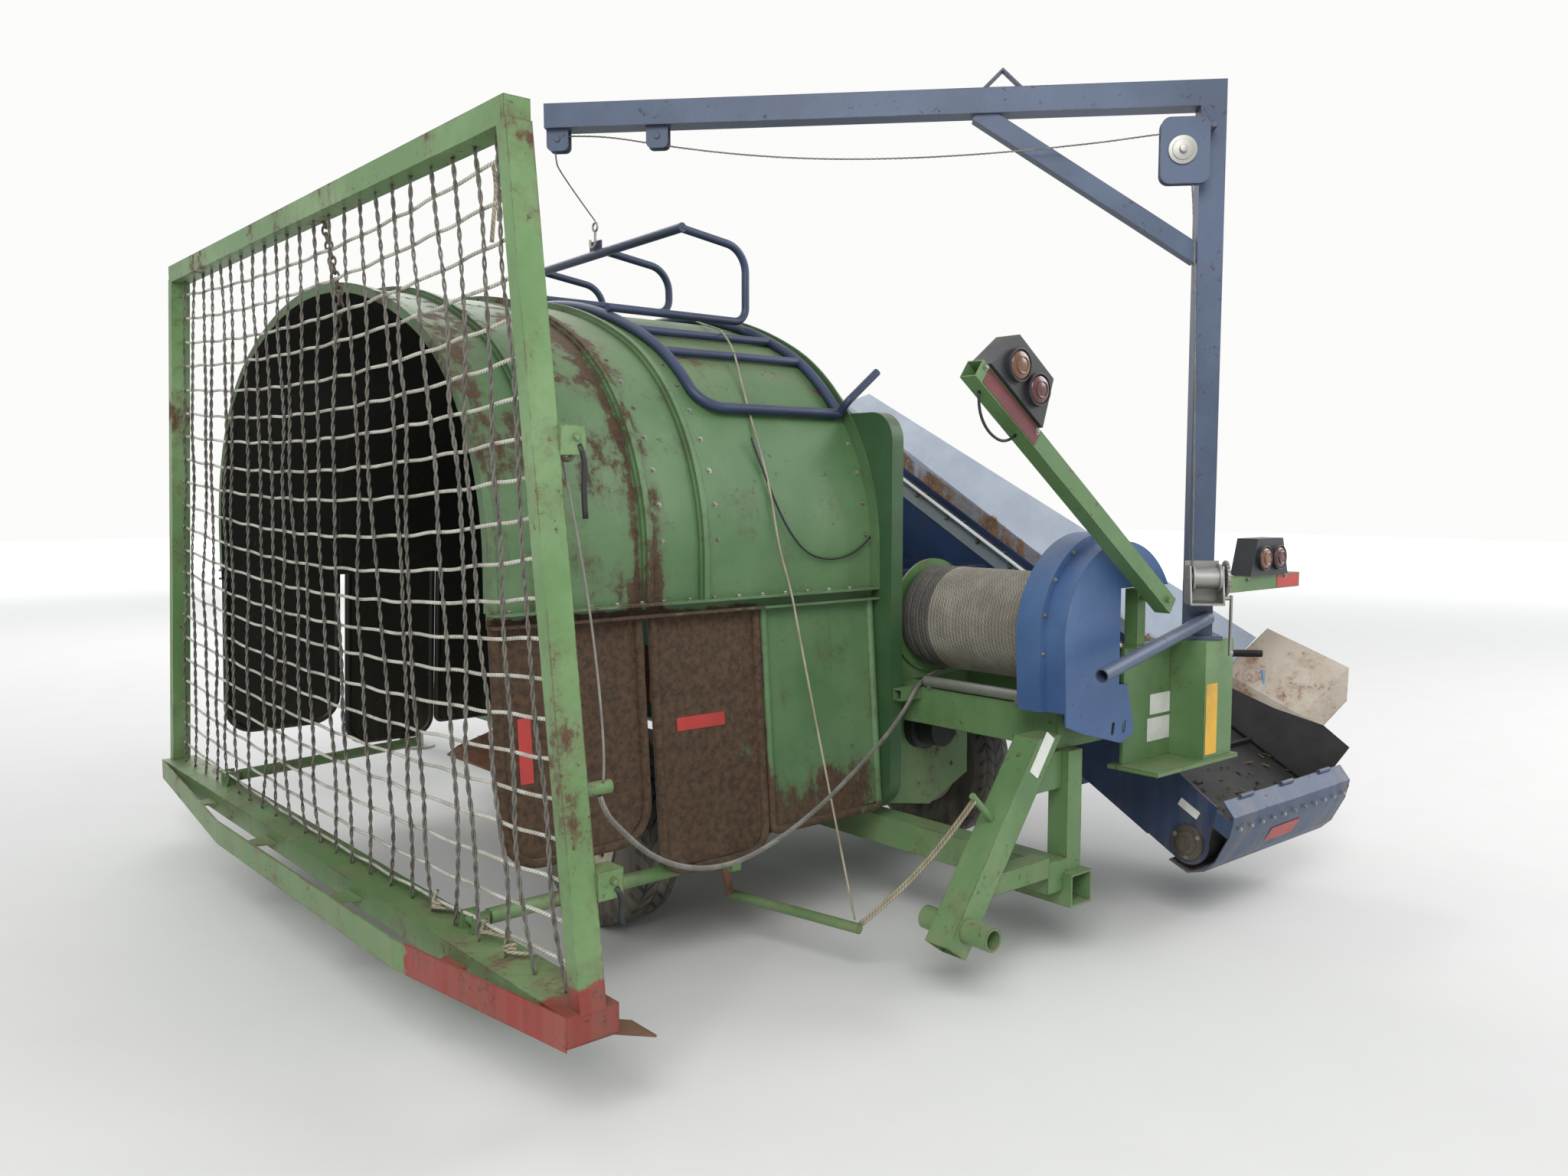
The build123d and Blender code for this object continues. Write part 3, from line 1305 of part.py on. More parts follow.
def hoist_wire():
    # From the hand winch up the mast, over the sheave, slack under the boom and down to the hook.
    run = sheave_radius - 2 + hoist_wire_radius + wire_clear
    over = sheave_z + run
    sag = (
        (172, -1), (270, -10), (370, -20), (470, -27), (570, -33.2), (670, -38.4), (770, -42.4), (870, -45.2),
        (970, -46.7), (1070, -46.7), (1170, -45.2), (1270, -42.2), (1370, -37.4), (1470, -30.4), (1570, -21.4),
        (1670, -10.4), (1770, 2.6), (1870, 17.6), (1970, 34.1), (2070, 51.6), (2165, 69), (2245, 79), (2330, 83.5),
    )
    bend = lug_pin_radius + hoist_wire_radius + wire_clear
    pin = lug_pin_z + bend
    lug = boom_length - 45 + bend
    start, middle = 172, 1930
    points = [crane_place(35, winch_t - 38 - hoist_wire_radius - seat, winch_z + 4)]
    points.append(crane_place(sheave_r - run, sheave_t, over))
    points += [
        crane_place(r, sheave_t * max(0, middle - r) / (middle - start), over + z) for r, z in sag
    ]
    points += [crane_place(lug, 0, pin), crane_place(lug + 1, -6, pin - 80), crane_place(lug + 8, -70, pin - 112)]
    hook_x = ridge_at(eye_y)[0] - 4 - hook_clear - hook_radius
    hook_z = ridge_at(eye_y)[1] + cradle_tube + hook_radius + hook_clear + 84 + 18 + 5
    points.append((hook_x, eye_y - 20, hook_z + 3))
    return cord("hoist_wire", points, hoist_wire_radius, {1: run, len(points) - 4: bend})


def drum_cable():
    # The main cable leaves the bottom of the near drum, sags along the tunnel and ends at the near post's peg.
    under = drum_z - drum_wound_radius - drum_cable_radius - seat
    points = [
        (drum_x - 1, -1392, under), (1815, -1430, under - 5), (1700, -1474, 918), (1575, -1512, 824),
        (1430, -1553, 748), (1257, -1609, 687), (1065, -1671, 624), (880, -1730, 580), (700, -1788, 552),
        (529, -1843, 546), (371, -1894, 570), (227, -1941, 622), (115, -1974, 688), (35, -1987, 762),
        (-20, -1990, 820), (-34, -1989, stop_peg_z - peg_radius - 3),
    ]
    return cord("drum_cable", points, drum_cable_radius, {})


def ridge_at(y):
    share = (y - ridge_near[1]) / (ridge_far[1] - ridge_near[1])
    return (
        ridge_near[0] + share * (ridge_far[0] - ridge_near[0]),
        ridge_near[2] + share * (ridge_far[2] - ridge_near[2]),
    )


def stop_half(z):
    # Half the backstop's width at a height, between the posts' middles.
    share = (z - stop_beam_top) / (stop_top - stop_beam_top)
    return stop_half_bottom + share * (stop_half_top - stop_half_bottom)


def backstop_frame():
    depth = stop_post_depth / 2
    near, far = stop_middle - stop_half_top, stop_middle + stop_half_top
    wide = stop_post_width / 2
    frame = block(stop_x - depth, stop_x + depth, near - wide, far + wide, stop_top - 72, stop_top)
    low_near, low_far = stop_middle - stop_half_bottom, stop_middle + stop_half_bottom
    frame += block(
        stop_x - stop_beam_depth / 2, stop_x + stop_beam_depth / 2, low_near - wide, low_far + wide,
        stop_beam_top - stop_beam_height, stop_beam_top,
    )
    foot_z, head_z = stop_beam_top - 10, stop_top - 60
    for side in (-1, 1):
        frame += bar(
            (stop_x, stop_middle + side * stop_half(foot_z), foot_z),
            (stop_x, stop_middle + side * stop_half(head_z), head_z),
            stop_post_depth, stop_post_width, side=(1, 0, 0),
        )
    # Two open brackets and a short peg on the near post.
    for z in (stop_bracket_high, stop_bracket_low):
        y = stop_middle - stop_half(z)
        x = stop_x + depth
        bracket = block(x - 1, x + 75, y - 34, y + 34, z - 38, z + 38) - block(x + 6, x + 80, y - 28, y + 28, z - 40, z + 30)
        frame += bracket + rod((x + 45, y - 44, z + 8), (x + 45, y + 44, z + 8), 9)
    z = stop_peg_z
    y = stop_middle - stop_half(z)
    frame += rod((stop_x, y, z), (stop_x + depth + 80, y, z), peg_radius)
    # Lugs with ring pins on the beam.
    for y in (stop_arm_near, stop_arm_far):
        lug = block(stop_x + 5, stop_x + 60, y - 40, y - 30, stop_beam_top - 1, stop_beam_top + 55)
        lug += block(stop_x + 5, stop_x + 60, y + 30, y + 40, stop_beam_top - 1, stop_beam_top + 55)
        frame += lug + rod((stop_x + 32, y - 60, stop_beam_top + 30), (stop_x + 32, y + 50, stop_beam_top + 30), 8)
    return frame


def backstop_bumper():
    # A flat bar bowed outwards, held off the beam by flat triangular gussets, with a bent skid plate.
    beam_face = stop_x - stop_beam_depth / 2 - seat
    y0, y1 = stop_middle - stop_half_bottom - 24, stop_middle + stop_half_bottom + 24
    out = beam_face - bumper_bow
    outer = [(beam_face, y0), (out, y0 + 800), (out - 15, y0 + 2450), (beam_face, y1)]
    inner = [(x + bumper_plate, y) for x, y in reversed(outer)]
    inner = [(beam_face, y1 - 36), inner[1], inner[2], (beam_face, y0 + 36)]
    z0 = stop_beam_top - stop_beam_height - 14
    bumper = Pos(0, 0, z0) * extrude(make_face(Polyline(*outer, *inner, close=True)), amount=bumper_height)
    for share in bumper_gussets:
        y = y0 + share * (y1 - y0)
        ends = []
        for place in (y - 25, y + 25):
            for (x_a, y_a), (x_b, y_b) in zip(outer, outer[1:]):
                if y_a <= place <= y_b:
                    ends.append((x_a + (place - y_a) / (y_b - y_a) * (x_b - x_a) + bumper_plate / 2, place))
        gusset = make_face(Polyline((beam_face, y - 60), ends[0], ends[1], (beam_face, y + 60), close=True))
        bumper += Pos(0, 0, z0 + bumper_height / 2) * extrude(gusset, amount=bumper_plate)
    skid = [
        (beam_face - 3, z0 + 8), (stop_x + 60, z0 + 8), (stop_x + 190, z0 - 38), (stop_x + 192, z0 - 32),
        (stop_x + 60, z0 + 14 - seat), (beam_face - 3, z0 + 14 - seat),
    ]
    return bumper + side_plate(skid, y0 + 2, y0 + 120)


def backstop_net():
    # The rope net between the posts, the top bar and the beam: rows on one side and columns on the other.
    wide = stop_post_width / 2
    low, high = stop_beam_top + seat, stop_top - 72 - seat
    lean = (stop_half_bottom - stop_half_top) / (stop_top - stop_beam_top)
    slant = math.hypot(1, lean)
    ropes = []
    for i in range(net_rows):
        z = low + (i + 0.9) * (high - low) / (net_rows + 0.6)
        half = stop_half(z + net_rope) - wide * slant - seat
        ropes.append(block(
            stop_x - net_rope, stop_x - seat / 2, stop_middle - half, stop_middle + half, z - net_rope, z + net_rope
        ))
    for i in range(net_columns):
        share = (i + 0.5) / net_columns * 2 - 1
        bottom = stop_middle + share * (stop_half(low) - 40)
        top = stop_middle + share * (stop_half(high) - 40)
        column = [(bottom - net_rope, low), (bottom + net_rope, low), (top + net_rope, high), (top - net_rope, high)]
        ropes.append(end_plate(column, stop_x + seat / 2, stop_x + net_rope))
    return Compound(children=ropes)


def backstop_arm(side):
    # A round arm from the tunnel's lower edge to the backstop's lugs.
    y = stop_arm_near if side < 0 else stop_arm_far
    z = stop_beam_top + 30
    eye = rod((stop_x + 32, y - 28, z), (stop_x + 32, y + 28, z), 20)
    eye += block(stop_x + 32, stop_x + 76, y - 14, y + 14, z - 14, z + 14)
    tube = rod((stop_x + 74, y, z), (arm_front, side * arm_front_y, arm_front_z), 24)
    lug_top = seam_height - seam_gap - 2 * flange_plate - middle_skirt_drop - edge_tube - seat
    lug_out = tunnel_half_width + shell + middle_skirt_drop * skirt_flare / skirt_drop
    tube += block(arm_front - 40, arm_front, side * (arm_front_y - 10), side * (lug_out + 10), lug_top - 30, lug_top)
    tube = tube + eye - rod((stop_x + 32, y - 40, z), (stop_x + 32, y + 40, z), 8 + shaft_gap)
    return tube


def cord(name, points, radius, held):
    # Straight runs joined by arcs as large as the shorter run at each corner allows.
    # The corners in held go round a wheel or a pin and have its radius.
    places = [Vector(*p) for p in points]
    radii = []
    for i, (a, b, c) in enumerate(zip(places, places[1:], places[2:]), start=1):
        turn = math.radians((b - a).get_angle(c - b))
        radii.append(held.get(i, 0.45 * min((b - a).length, (c - b).length) / math.tan(turn / 2)))
    path = FilletPolyline(*points, radius=radii)
    tube = sweep(Plane(path @ 0, z_dir=path % 0) * Circle(radius), path=path)
    share = tube.volume / (math.pi * radius ** 2 * path.length)
    print(f"{name}: length {path.length:.0f}, smallest radius {min(radii):.0f}, volume share {share:.4f}")
    return tube


def crane_place(r, t, z):
    turn = math.radians(boom_heading)
    return (mast_x + r * math.cos(turn) - t * math.sin(turn), mast_y + r * math.sin(turn) + t * math.cos(turn), z)


def all_pieces():
    pieces = {
        "main_frame": main_frame(),
        "lower_beam": lower_beam(),
        "receiver_tube": receiver_tube(),
        "tunnel_rear": tunnel_rear(),
        "tunnel_front": tunnel_front(),
        "front_wall": front_wall(),
        "bag_pan": bag_pan(),
        "rotor_housing": rotor_housing(),
        "stripper_comb": stripper_comb(),
        "rotor": rotor(),
        "rotor_motor": rotor_motor(),
        "rotor_gearbox": rotor_gearbox(),
        "rotor_hopper": rotor_hopper(),
        "drum_roller": drum_roller(),
        "support_leg": support_leg(),
        "axle": axle(),
        "tow_bar": tow_bar(),
        "tow_jack": tow_jack(),
        "mast_socket": mast_socket(),
        "crane_mast": crane_mast(),
        "crane_sheave": crane_sheave(),
        "hand_winch": hand_winch(),
        "hoist_wire": hoist_wire(),
        "hoist_hook": hoist_hook(),
        "drum_cable": drum_cable(),
        "conveyor_frame": conveyor_frame(),
        "conveyor_belt": conveyor_belt(),
        "tail_roller": conveyor_roller(0),
        "head_roller": conveyor_roller(conveyor_length),
        "side_strip": side_strip(),
        "conveyor_wing": conveyor_wing(),
        "tail_wing": tail_wing(),
        "tail_cover": tail_cover(),
        "trough_skirt": trough_skirt(),
        "bag_cradle": bag_cradle(),
        "backstop_frame": backstop_frame(),
        "backstop_bumper": backstop_bumper(),
        "backstop_net": backstop_net(),
    }
    for word, side in (("near", -1), ("far", 1)):
        pieces[f"drum_spool_{word}"] = drum_spool(side)
        pieces[f"drum_rope_{word}"] = drum_rope(side)
        pieces[f"drum_brake_{word}"] = drum_brake(side)
        pieces[f"drum_guard_{word}"] = drum_guard(side)
        pieces[f"backstop_arm_{word}"] = backstop_arm(side)
    for word, x, outward in (("rear", wheel_rear_x, -1), ("front", wheel_front_x, 1)):
        pieces[f"tyre_{word}"] = tyre(x)
        pieces[f"wheel_{word}"] = rim(x, outward)
    for word, place, length, centre in (
        ("left", left_lamp, left_reach, left_reach - lamp_width / 2 - 20),
        ("right", right_lamp, right_reach, right_reach - lamp_width / 2 - 130),
    ):
        pieces[f"lamp_arm_{word}"] = place(lamp_arm(length, lamp_arm_size))
        pieces[f"lamp_{word}"] = place(lamp_box(centre))
    return pieces


def origin_shift(pieces):
    # The origin goes under the middle of everything but the free cords.
    boxes = [piece.bounding_box() for name, piece in pieces.items() if name not in cord_names]
    x = (min(b.min.X for b in boxes) + max(b.max.X for b in boxes)) / 2
    y = (min(b.min.Y for b in boxes) + max(b.max.Y for b in boxes)) / 2
    z = min(b.min.Z for b in boxes)
    return Vector(-x, -y, -z)


cord_names = ("drum_cable", "hoist_wire", "hoist_hook")
pieces = all_pieces()
shift = origin_shift(pieces)

if __name__ == "__main__":
    os.makedirs("parts", exist_ok=True)
    for name, piece in pieces.items():
        export_step(Pos(*shift) * piece, f"parts/{name}.step")
    print("moved by", [round(v, 2) for v in shift])
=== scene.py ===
import math
import random

import bmesh
import bpy
from mathutils import Matrix, Vector


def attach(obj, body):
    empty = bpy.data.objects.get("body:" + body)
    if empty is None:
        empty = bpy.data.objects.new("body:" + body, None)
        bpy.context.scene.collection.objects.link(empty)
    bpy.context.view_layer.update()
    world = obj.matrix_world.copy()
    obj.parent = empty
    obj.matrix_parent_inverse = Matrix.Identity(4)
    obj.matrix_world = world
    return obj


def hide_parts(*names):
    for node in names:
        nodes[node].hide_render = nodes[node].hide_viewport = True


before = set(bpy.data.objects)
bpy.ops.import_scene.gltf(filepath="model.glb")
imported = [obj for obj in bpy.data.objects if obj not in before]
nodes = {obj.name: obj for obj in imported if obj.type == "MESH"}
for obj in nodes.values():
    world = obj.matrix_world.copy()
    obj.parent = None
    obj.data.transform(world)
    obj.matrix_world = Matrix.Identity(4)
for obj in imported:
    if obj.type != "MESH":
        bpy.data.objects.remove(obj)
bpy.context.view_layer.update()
scene = bpy.context.scene
print("frame loaded:", len(nodes), "nodes")

# Places and angles of the part's own drawing, in millimetres and degrees. It starts at the tunnel's mouth.
drawing = {
    "origin": (1634.5, 487.76, 0.0),
    "craneFoot": (2420, -2200), "craneHeading": 133,
    "leftPivot": (2070, -2262, 1270), "leftLift": 36,
    "rightPivot": (2600, -2085, 1270),
    "beltFoot": (-2200, 330), "beltRise": 29,
}


def at(x, y, z):
    return (Vector((x, y, z)) - Vector(drawing["origin"])) / 1000


def alongCrane(out, aside, z):
    # A place that many millimetres out along the boom and square to it.
    x, y = drawing["craneFoot"]
    turn = math.radians(drawing["craneHeading"])
    return at(x + out * math.cos(turn) - aside * math.sin(turn),
              y + out * math.sin(turn) + aside * math.cos(turn), z)


def onLeftArm(along, out, up):
    x, y, z = drawing["leftPivot"]
    lift = math.radians(drawing["leftLift"])
    return at(x - along * math.cos(lift) + up * math.sin(lift), y + out,
              z + along * math.sin(lift) + up * math.cos(lift))


def onRightArm(along, out, up):
    x, y, z = drawing["rightPivot"]
    return at(x + along, y + out, z + up)


beltTurn = math.radians(drawing["beltRise"])


def upBelt(x, along, rise):
    # A place up the conveyor from its tail roller and square above it.
    y, z = drawing["beltFoot"]
    return at(x, y + along * math.cos(beltTurn) - rise * math.sin(beltTurn),
              z + along * math.sin(beltTurn) + rise * math.cos(beltTurn))


across, nearward = (1, 0, 0), (0, -1, 0)
downBelt = (0, -math.cos(beltTurn), -math.sin(beltTurn))
offBelt = (0, -math.sin(beltTurn), math.cos(beltTurn))

print("camera and light")
view = {"place": (-3.2965, -5.1078, 1.65), "pitch": 85.36, "heading": -40.5, "lens": 27.95}
bpy.ops.object.camera_add(
    location=view["place"], rotation=(math.radians(view["pitch"]), 0, math.radians(view["heading"]))
)
camera = bpy.context.object
camera.data.lens = view["lens"]
camera.data.sensor_width = 36
camera.data.clip_end = 300
scene.camera = camera
scene.view_settings.view_transform = "Standard"

lamps = {
    "keyLamp": {"place": (-7.5, -8.5, 8.5), "aim": (0, -0.5, 1.0), "size": 6.0, "power": 900},
    "sideLamp": {"place": (8.5, -6.5, 6.5), "aim": (0, -0.5, 1.0), "size": 6.0, "power": 520},
    "backLamp": {"place": (1.0, 9.0, 8.0), "aim": (0, 0, 1.2), "size": 7.0, "power": 520},
}
for name, lamp in lamps.items():
    aim = Vector(lamp["aim"]) - Vector(lamp["place"])
    turn = aim.to_track_quat("-Z", "Y").to_euler()
    bpy.ops.object.light_add(type="AREA", location=lamp["place"], rotation=turn)
    light = bpy.context.object
    light.name = name
    light.data.size = lamp["size"]
    light.data.energy = lamp["power"]

# Material helpers.
def tone(code):
    parts = [int(code[i:i + 2], 16) / 255 for i in (1, 3, 5)]
    return tuple(p / 12.92 if p < 0.04045 else ((p + 0.055) / 1.055) ** 2.4 for p in parts) + (1.0,)


work = {"tree": None}  # The node tree that is being built.


def link(socket, target):
    work["tree"].links.new(socket, target)


def feed(node, inputs):
    # Sockets are linked to the node's inputs, other values are set in them.
    for key, value in inputs.items():
        if isinstance(value, bpy.types.NodeSocket):
            link(value, node.inputs[key])
        else:
            node.inputs[key].default_value = value


def add(kind, inputs=None, **settings):
    node = work["tree"].nodes.new("ShaderNode" + kind)
    for key, value in settings.items():
        setattr(node, key, value)
    feed(node, inputs or {})
    return node


def calc(operation, a, b=0.0, clamp=False):
    return add("Math", {0: a, 1: b}, operation=operation, use_clamp=clamp).outputs[0]


def times(a, b, clamp=False):
    return calc("MULTIPLY", a, b, clamp)


def plus(a, b):
    return calc("ADD", a, b)


def minus(a, b):
    return calc("SUBTRACT", a, b)


def fromHalf(value):
    # How far a share between 0 and 1 lies from its middle.
    return calc("ABSOLUTE", minus(value, 0.5))


def fade(value, low, high, start=0.0, end=1.0):
    # From start to end while the value goes from low to high.
    inputs = {"Value": value, "From Min": low, "From Max": high, "To Min": start, "To Max": end}
    return add("MapRange", inputs, interpolation_type="SMOOTHSTEP").outputs[0]


def blendColour(share, a, b, mode="MIX"):
    return add("Mix", {0: share, 6: a, 7: b}, data_type="RGBA", blend_type=mode).outputs[2]


def mottled(share, colour, factor, low, high):
    # The colour times a grey that runs from low to high with the factor.
    grey = blendColour(factor, (low, low, low, 1), (high, high, high, 1))
    return blendColour(share, colour, grey, "MULTIPLY")


def noise(place, scale, detail=4.0, rough=0.55):
    inputs = {"Vector": place, "Scale": scale, "Detail": detail, "Roughness": rough}
    return add("TexNoise", inputs).outputs[0]


def stretched(place, scale):
    return add("Mapping", {"Vector": place, "Scale": scale}).outputs[0]


def split(vector):
    return add("SeparateXYZ", {0: vector}).outputs


def dot(a, b):
    return add("VectorMath", {0: a, 1: b}, operation="DOT_PRODUCT").outputs["Value"]


def group(name, inputs, outputs):
    tree = bpy.data.node_groups.new(name, "ShaderNodeTree")
    work["tree"] = tree
    for way, sockets in (("INPUT", inputs), ("OUTPUT", outputs)):
        for label, kind in sockets.items():
            tree.interface.new_socket(label, in_out=way, socket_type="NodeSocket" + kind)
    return tree, tree.nodes.new("NodeGroupInput").outputs, tree.nodes.new("NodeGroupOutput")


print("room")
studio = {"ambient": (0.86, 0.9, 0.96, 1), "ambientStrength": 0.62, "backdrop": (0.97, 0.97, 0.96, 1)}
world = bpy.data.worlds.new("studio")
scene.world = world
world.use_nodes = True
work["tree"] = world.node_tree
world.node_tree.nodes.clear()
path = add("LightPath").outputs
seen = calc("MAXIMUM", path["Is Camera Ray"], path["Is Glossy Ray"])
seen = calc("MAXIMUM", seen, path["Is Transmission Ray"])
ambient = add("Background", {"Color": studio["ambient"], "Strength": studio["ambientStrength"]})
backdrop = add("Background", {"Color": studio["backdrop"]})
room = add("MixShader", {0: seen, 1: ambient.outputs[0], 2: backdrop.outputs[0]})
add("OutputWorld", {0: room.outputs[0]})

print("shader groups")
# Weather: faded paint, rust in patches and streaks, chips, worn edges and dust, all from Object coordinates.
grain = {"large": 1.6, "patch": 4.6, "fine": 42, "speck": 120, "runs": (12, 12, 0.9), "edge": 0.007}
weather, given, out = group(
    "weather",
    {"Place": "Vector", "Facing": "Vector", "Paint": "Color", "Faded": "Color", "Rust": "Color",
     "Dust": "Color", "Rusting": "Float", "Streaks": "Float", "Chips": "Float", "Wear": "Float",
     "Dusting": "Float"},
    {"Colour": "Color", "Roughness": "Float", "Mask": "Float", "Height": "Float"},
)
place = given["Place"]
large = noise(place, grain["large"], 5, 0.6)
patch = noise(place, grain["patch"], 10, 0.68)
fine = noise(place, grain["fine"], 6, 0.7)
speck = noise(place, grain["speck"], 3, 0.6)
runs = noise(stretched(place, grain["runs"]), 1.0, 6, 0.62)
field = plus(times(patch, 0.7), times(large, 0.3))
pull = times(minus(runs, 0.5), given["Streaks"])
field = plus(field, pull)
field = plus(field, times(minus(fine, 0.5), 0.22))
limit = minus(0.8, times(given["Rusting"], 0.5))
rustMask = fade(minus(field, limit), -0.035, 0.05)
softRust = fade(minus(field, limit), -0.14, 0.03)
chipMask = times(fade(fine, 0.62, 0.66), given["Chips"])
chipMask = times(chipMask, fade(patch, 0.48, 0.56))
rounded = add("Bevel", {"Radius": grain["edge"]}, samples=4).outputs[0]
geometry = add("NewGeometry").outputs["Normal"]
edge = fade(minus(1.0, dot(rounded, geometry)), 0.015, 0.16)
broken = plus(patch, times(fine, 0.4))
edge = times(edge, fade(broken, 0.62, 0.78))
edge = times(edge, given["Wear"])
mask = calc("MAXIMUM", calc("MAXIMUM", rustMask, chipMask), edge, clamp=True)
paint = blendColour(fade(large, 0.38, 0.66), given["Paint"], given["Faded"])
paint = mottled(0.35, paint, runs, 0.55, 1.25)
paint = blendColour(times(softRust, 0.45), paint, given["Rust"])
dark = blendColour(1.0, given["Rust"], (0.46, 0.43, 0.41, 1), "MULTIPLY")
bright = blendColour(1.0, given["Rust"], (1.4, 1.22, 1.02, 1), "MULTIPLY")
rust = blendColour(fade(fine, 0.35, 0.65), dark, bright)
rust = blendColour(fade(speck, 0.4, 0.75, 0.0, 0.6), rust, given["Rust"])
colour = blendColour(mask, paint, rust)
up = split(given["Facing"])[2]
lying = times(fade(up, 0.55, 0.95), fade(patch, 0.36, 0.62))
near = fade(split(place)[2], 0.75, 0.1)
splashed = times(near, fade(runs, 0.38, 0.7))
settled = times(calc("MAXIMUM", lying, splashed), given["Dusting"], clamp=True)
colour = blendColour(settled, colour, given["Dust"])
colour = mottled(0.25, colour, speck, 0.6, 1.3)
gloss = plus(0.4, times(large, 0.16))
gloss = plus(gloss, times(mask, 0.38))
gloss = calc("MAXIMUM", gloss, times(settled, 0.9), clamp=True)
height = plus(times(mask, plus(fine, 0.4)), times(speck, 0.12))
feed(out, {"Colour": colour, "Roughness": gloss, "Mask": mask, "Height": height})

# Lay: the diagonal strands of a rope, from its own UV map: metres along it and turns round it.
lay, given, out = group(
    "lay", {"Around": "Vector", "Pitch": "Float", "Strands": "Float"}, {"Groove": "Float"}
)
parts = split(given["Around"])
turn = plus(calc("DIVIDE", parts[0], given["Pitch"]), parts[1])
turn = times(turn, given["Strands"])
wave = fromHalf(calc("FRACT", turn))
feed(out, {"Groove": fade(wave, 0.5, 0.3)})


finishes = {}


def begin(name):
    # A new material under its name in finishes, and its empty shader.
    material = bpy.data.materials.new(name)
    material.use_nodes = True
    finishes[name] = material
    work["tree"] = material.node_tree
    material.node_tree.nodes.clear()
    shader = add("BsdfPrincipled")
    add("OutputMaterial", {0: shader.outputs[0]})
    return shader


def bumped(height, depth):
    return add("Bump", {"Height": height, "Distance": depth, "Strength": 1.0}).outputs[0]


def weathered(name, paint=None, faded=None, rust="#5b3620", dust="#8d7d66", rusting=0.3, streaks=0.3,
              chips=0.6, wear=0.8, dusting=0.35, metal=0.0, depth=0.0016, rustWhere=None, paintWhere=None,
              cutWhere=None):
    # A weathered sheet or tube. rustWhere and paintWhere give its rust and its paint, cutWhere sinks lines.
    shader = begin(name)
    source = add("TexCoord").outputs
    place = source["Object"]
    amount = rustWhere(place) if rustWhere else rusting
    first = paintWhere(place) if paintWhere else tone(paint)
    second = first if paintWhere else tone(faded)
    worn = add("Group", {
        "Place": place, "Facing": source["Normal"], "Paint": first, "Faded": second, "Rust": tone(rust),
        "Dust": tone(dust), "Rusting": amount, "Streaks": streaks, "Chips": chips, "Wear": wear,
        "Dusting": dusting,
    }, node_tree=weather).outputs
    height = minus(worn["Height"], times(cutWhere(place), 4.0)) if cutWhere else worn["Height"]
    feed(shader, {
        "Base Color": worn["Colour"], "Roughness": worn["Roughness"], "Normal": bumped(height, depth),
        "Metallic": times(minus(1.0, worn["Mask"]), metal) if metal else 0.0,
    })


def plain(name, colour, second, rough, scale, depth, metal=0.0, coat=0.0):
    # A small fitting: two close tones in a fine grain.
    shader = begin(name)
    place = add("TexCoord").outputs["Object"]
    grainy = noise(place, scale, 5, 0.65)
    blot = noise(place, scale / 9, 4, 0.6)
    shade = blendColour(fade(blot, 0.4, 0.66), tone(colour), tone(second))
    feed(shader, {
        "Base Color": mottled(0.4, shade, grainy, 0.5, 1.4), "Roughness": plus(rough - 0.1, times(grainy, 0.2)),
        "Metallic": metal, "Coat Weight": coat, "Normal": bumped(grainy, depth),
    })


def roped(name, colour, second, pitch, strands, depth=0.0016, metal=0.0):
    # Twisted rope or cable that follows its own UV map.
    shader = begin(name)
    source = add("TexCoord").outputs
    twist = add("Group", {"Around": source["UV"], "Pitch": pitch, "Strands": strands}, node_tree=lay)
    groove = twist.outputs["Groove"]
    blot = noise(source["Object"], 9, 5, 0.6)
    grainy = noise(source["Object"], 160, 3, 0.6)
    shade = blendColour(fade(blot, 0.4, 0.65), tone(colour), tone(second))
    shade = mottled(0.4, shade, grainy, 0.5, 1.4)
    # The grooves between the strands are painted darker: painted shade.
    shade = blendColour(groove, blendColour(1.0, shade, (0.3, 0.3, 0.3, 1), "MULTIPLY"), shade)
    feed(shader, {
        "Base Color": shade, "Roughness": plus(0.67, times(grainy, 0.16)), "Metallic": metal,
        "Normal": bumped(groove, depth),
    })


print("materials")
# Where one colour or wear gives way to another, in metres of the finished model.
zones = {
    "archMiddle": (0, -0.488, 1.25), "skirtTop": (1.27, 1.23), "rearEnd": (-1.08, -1.1),
    "middleEnd": (-0.585, -0.6), "skirtFoot": (0.75, 0.5), "seam": 1.06,
    "bumperRed": (-1.79, -1.77), "skid": (-1.72, -1.7), "postRedTop": (0.47, 0.455),
    "postRedSide": (-2.395, -2.41), "wingStain": (1.79, 1.755), "grip": 0.002,
}
rusting = {"base": 0.27, "rear": 0.22, "lowRear": 0.42, "middle": 0.6, "foot": 0.42, "seam": 0.35}
tyre = {"axle": (-1.18776, 0.38), "blocks": 38, "slants": 9.5, "rings": 19, "tread": (0.35, 0.362)}


def outsideArch(place):
    # 1 on faces that look away from the tunnel's middle, 0 on those that look into it.
    facing = add("TexCoord").outputs["Normal"]
    away = add("VectorMath", {0: place, 1: zones["archMiddle"]}, operation="SUBTRACT").outputs[0]
    flat = add("VectorMath", {0: away, 1: (0, 1, 1)}, operation="MULTIPLY").outputs[0]
    return fade(dot(flat, facing), -0.05, 0.02)


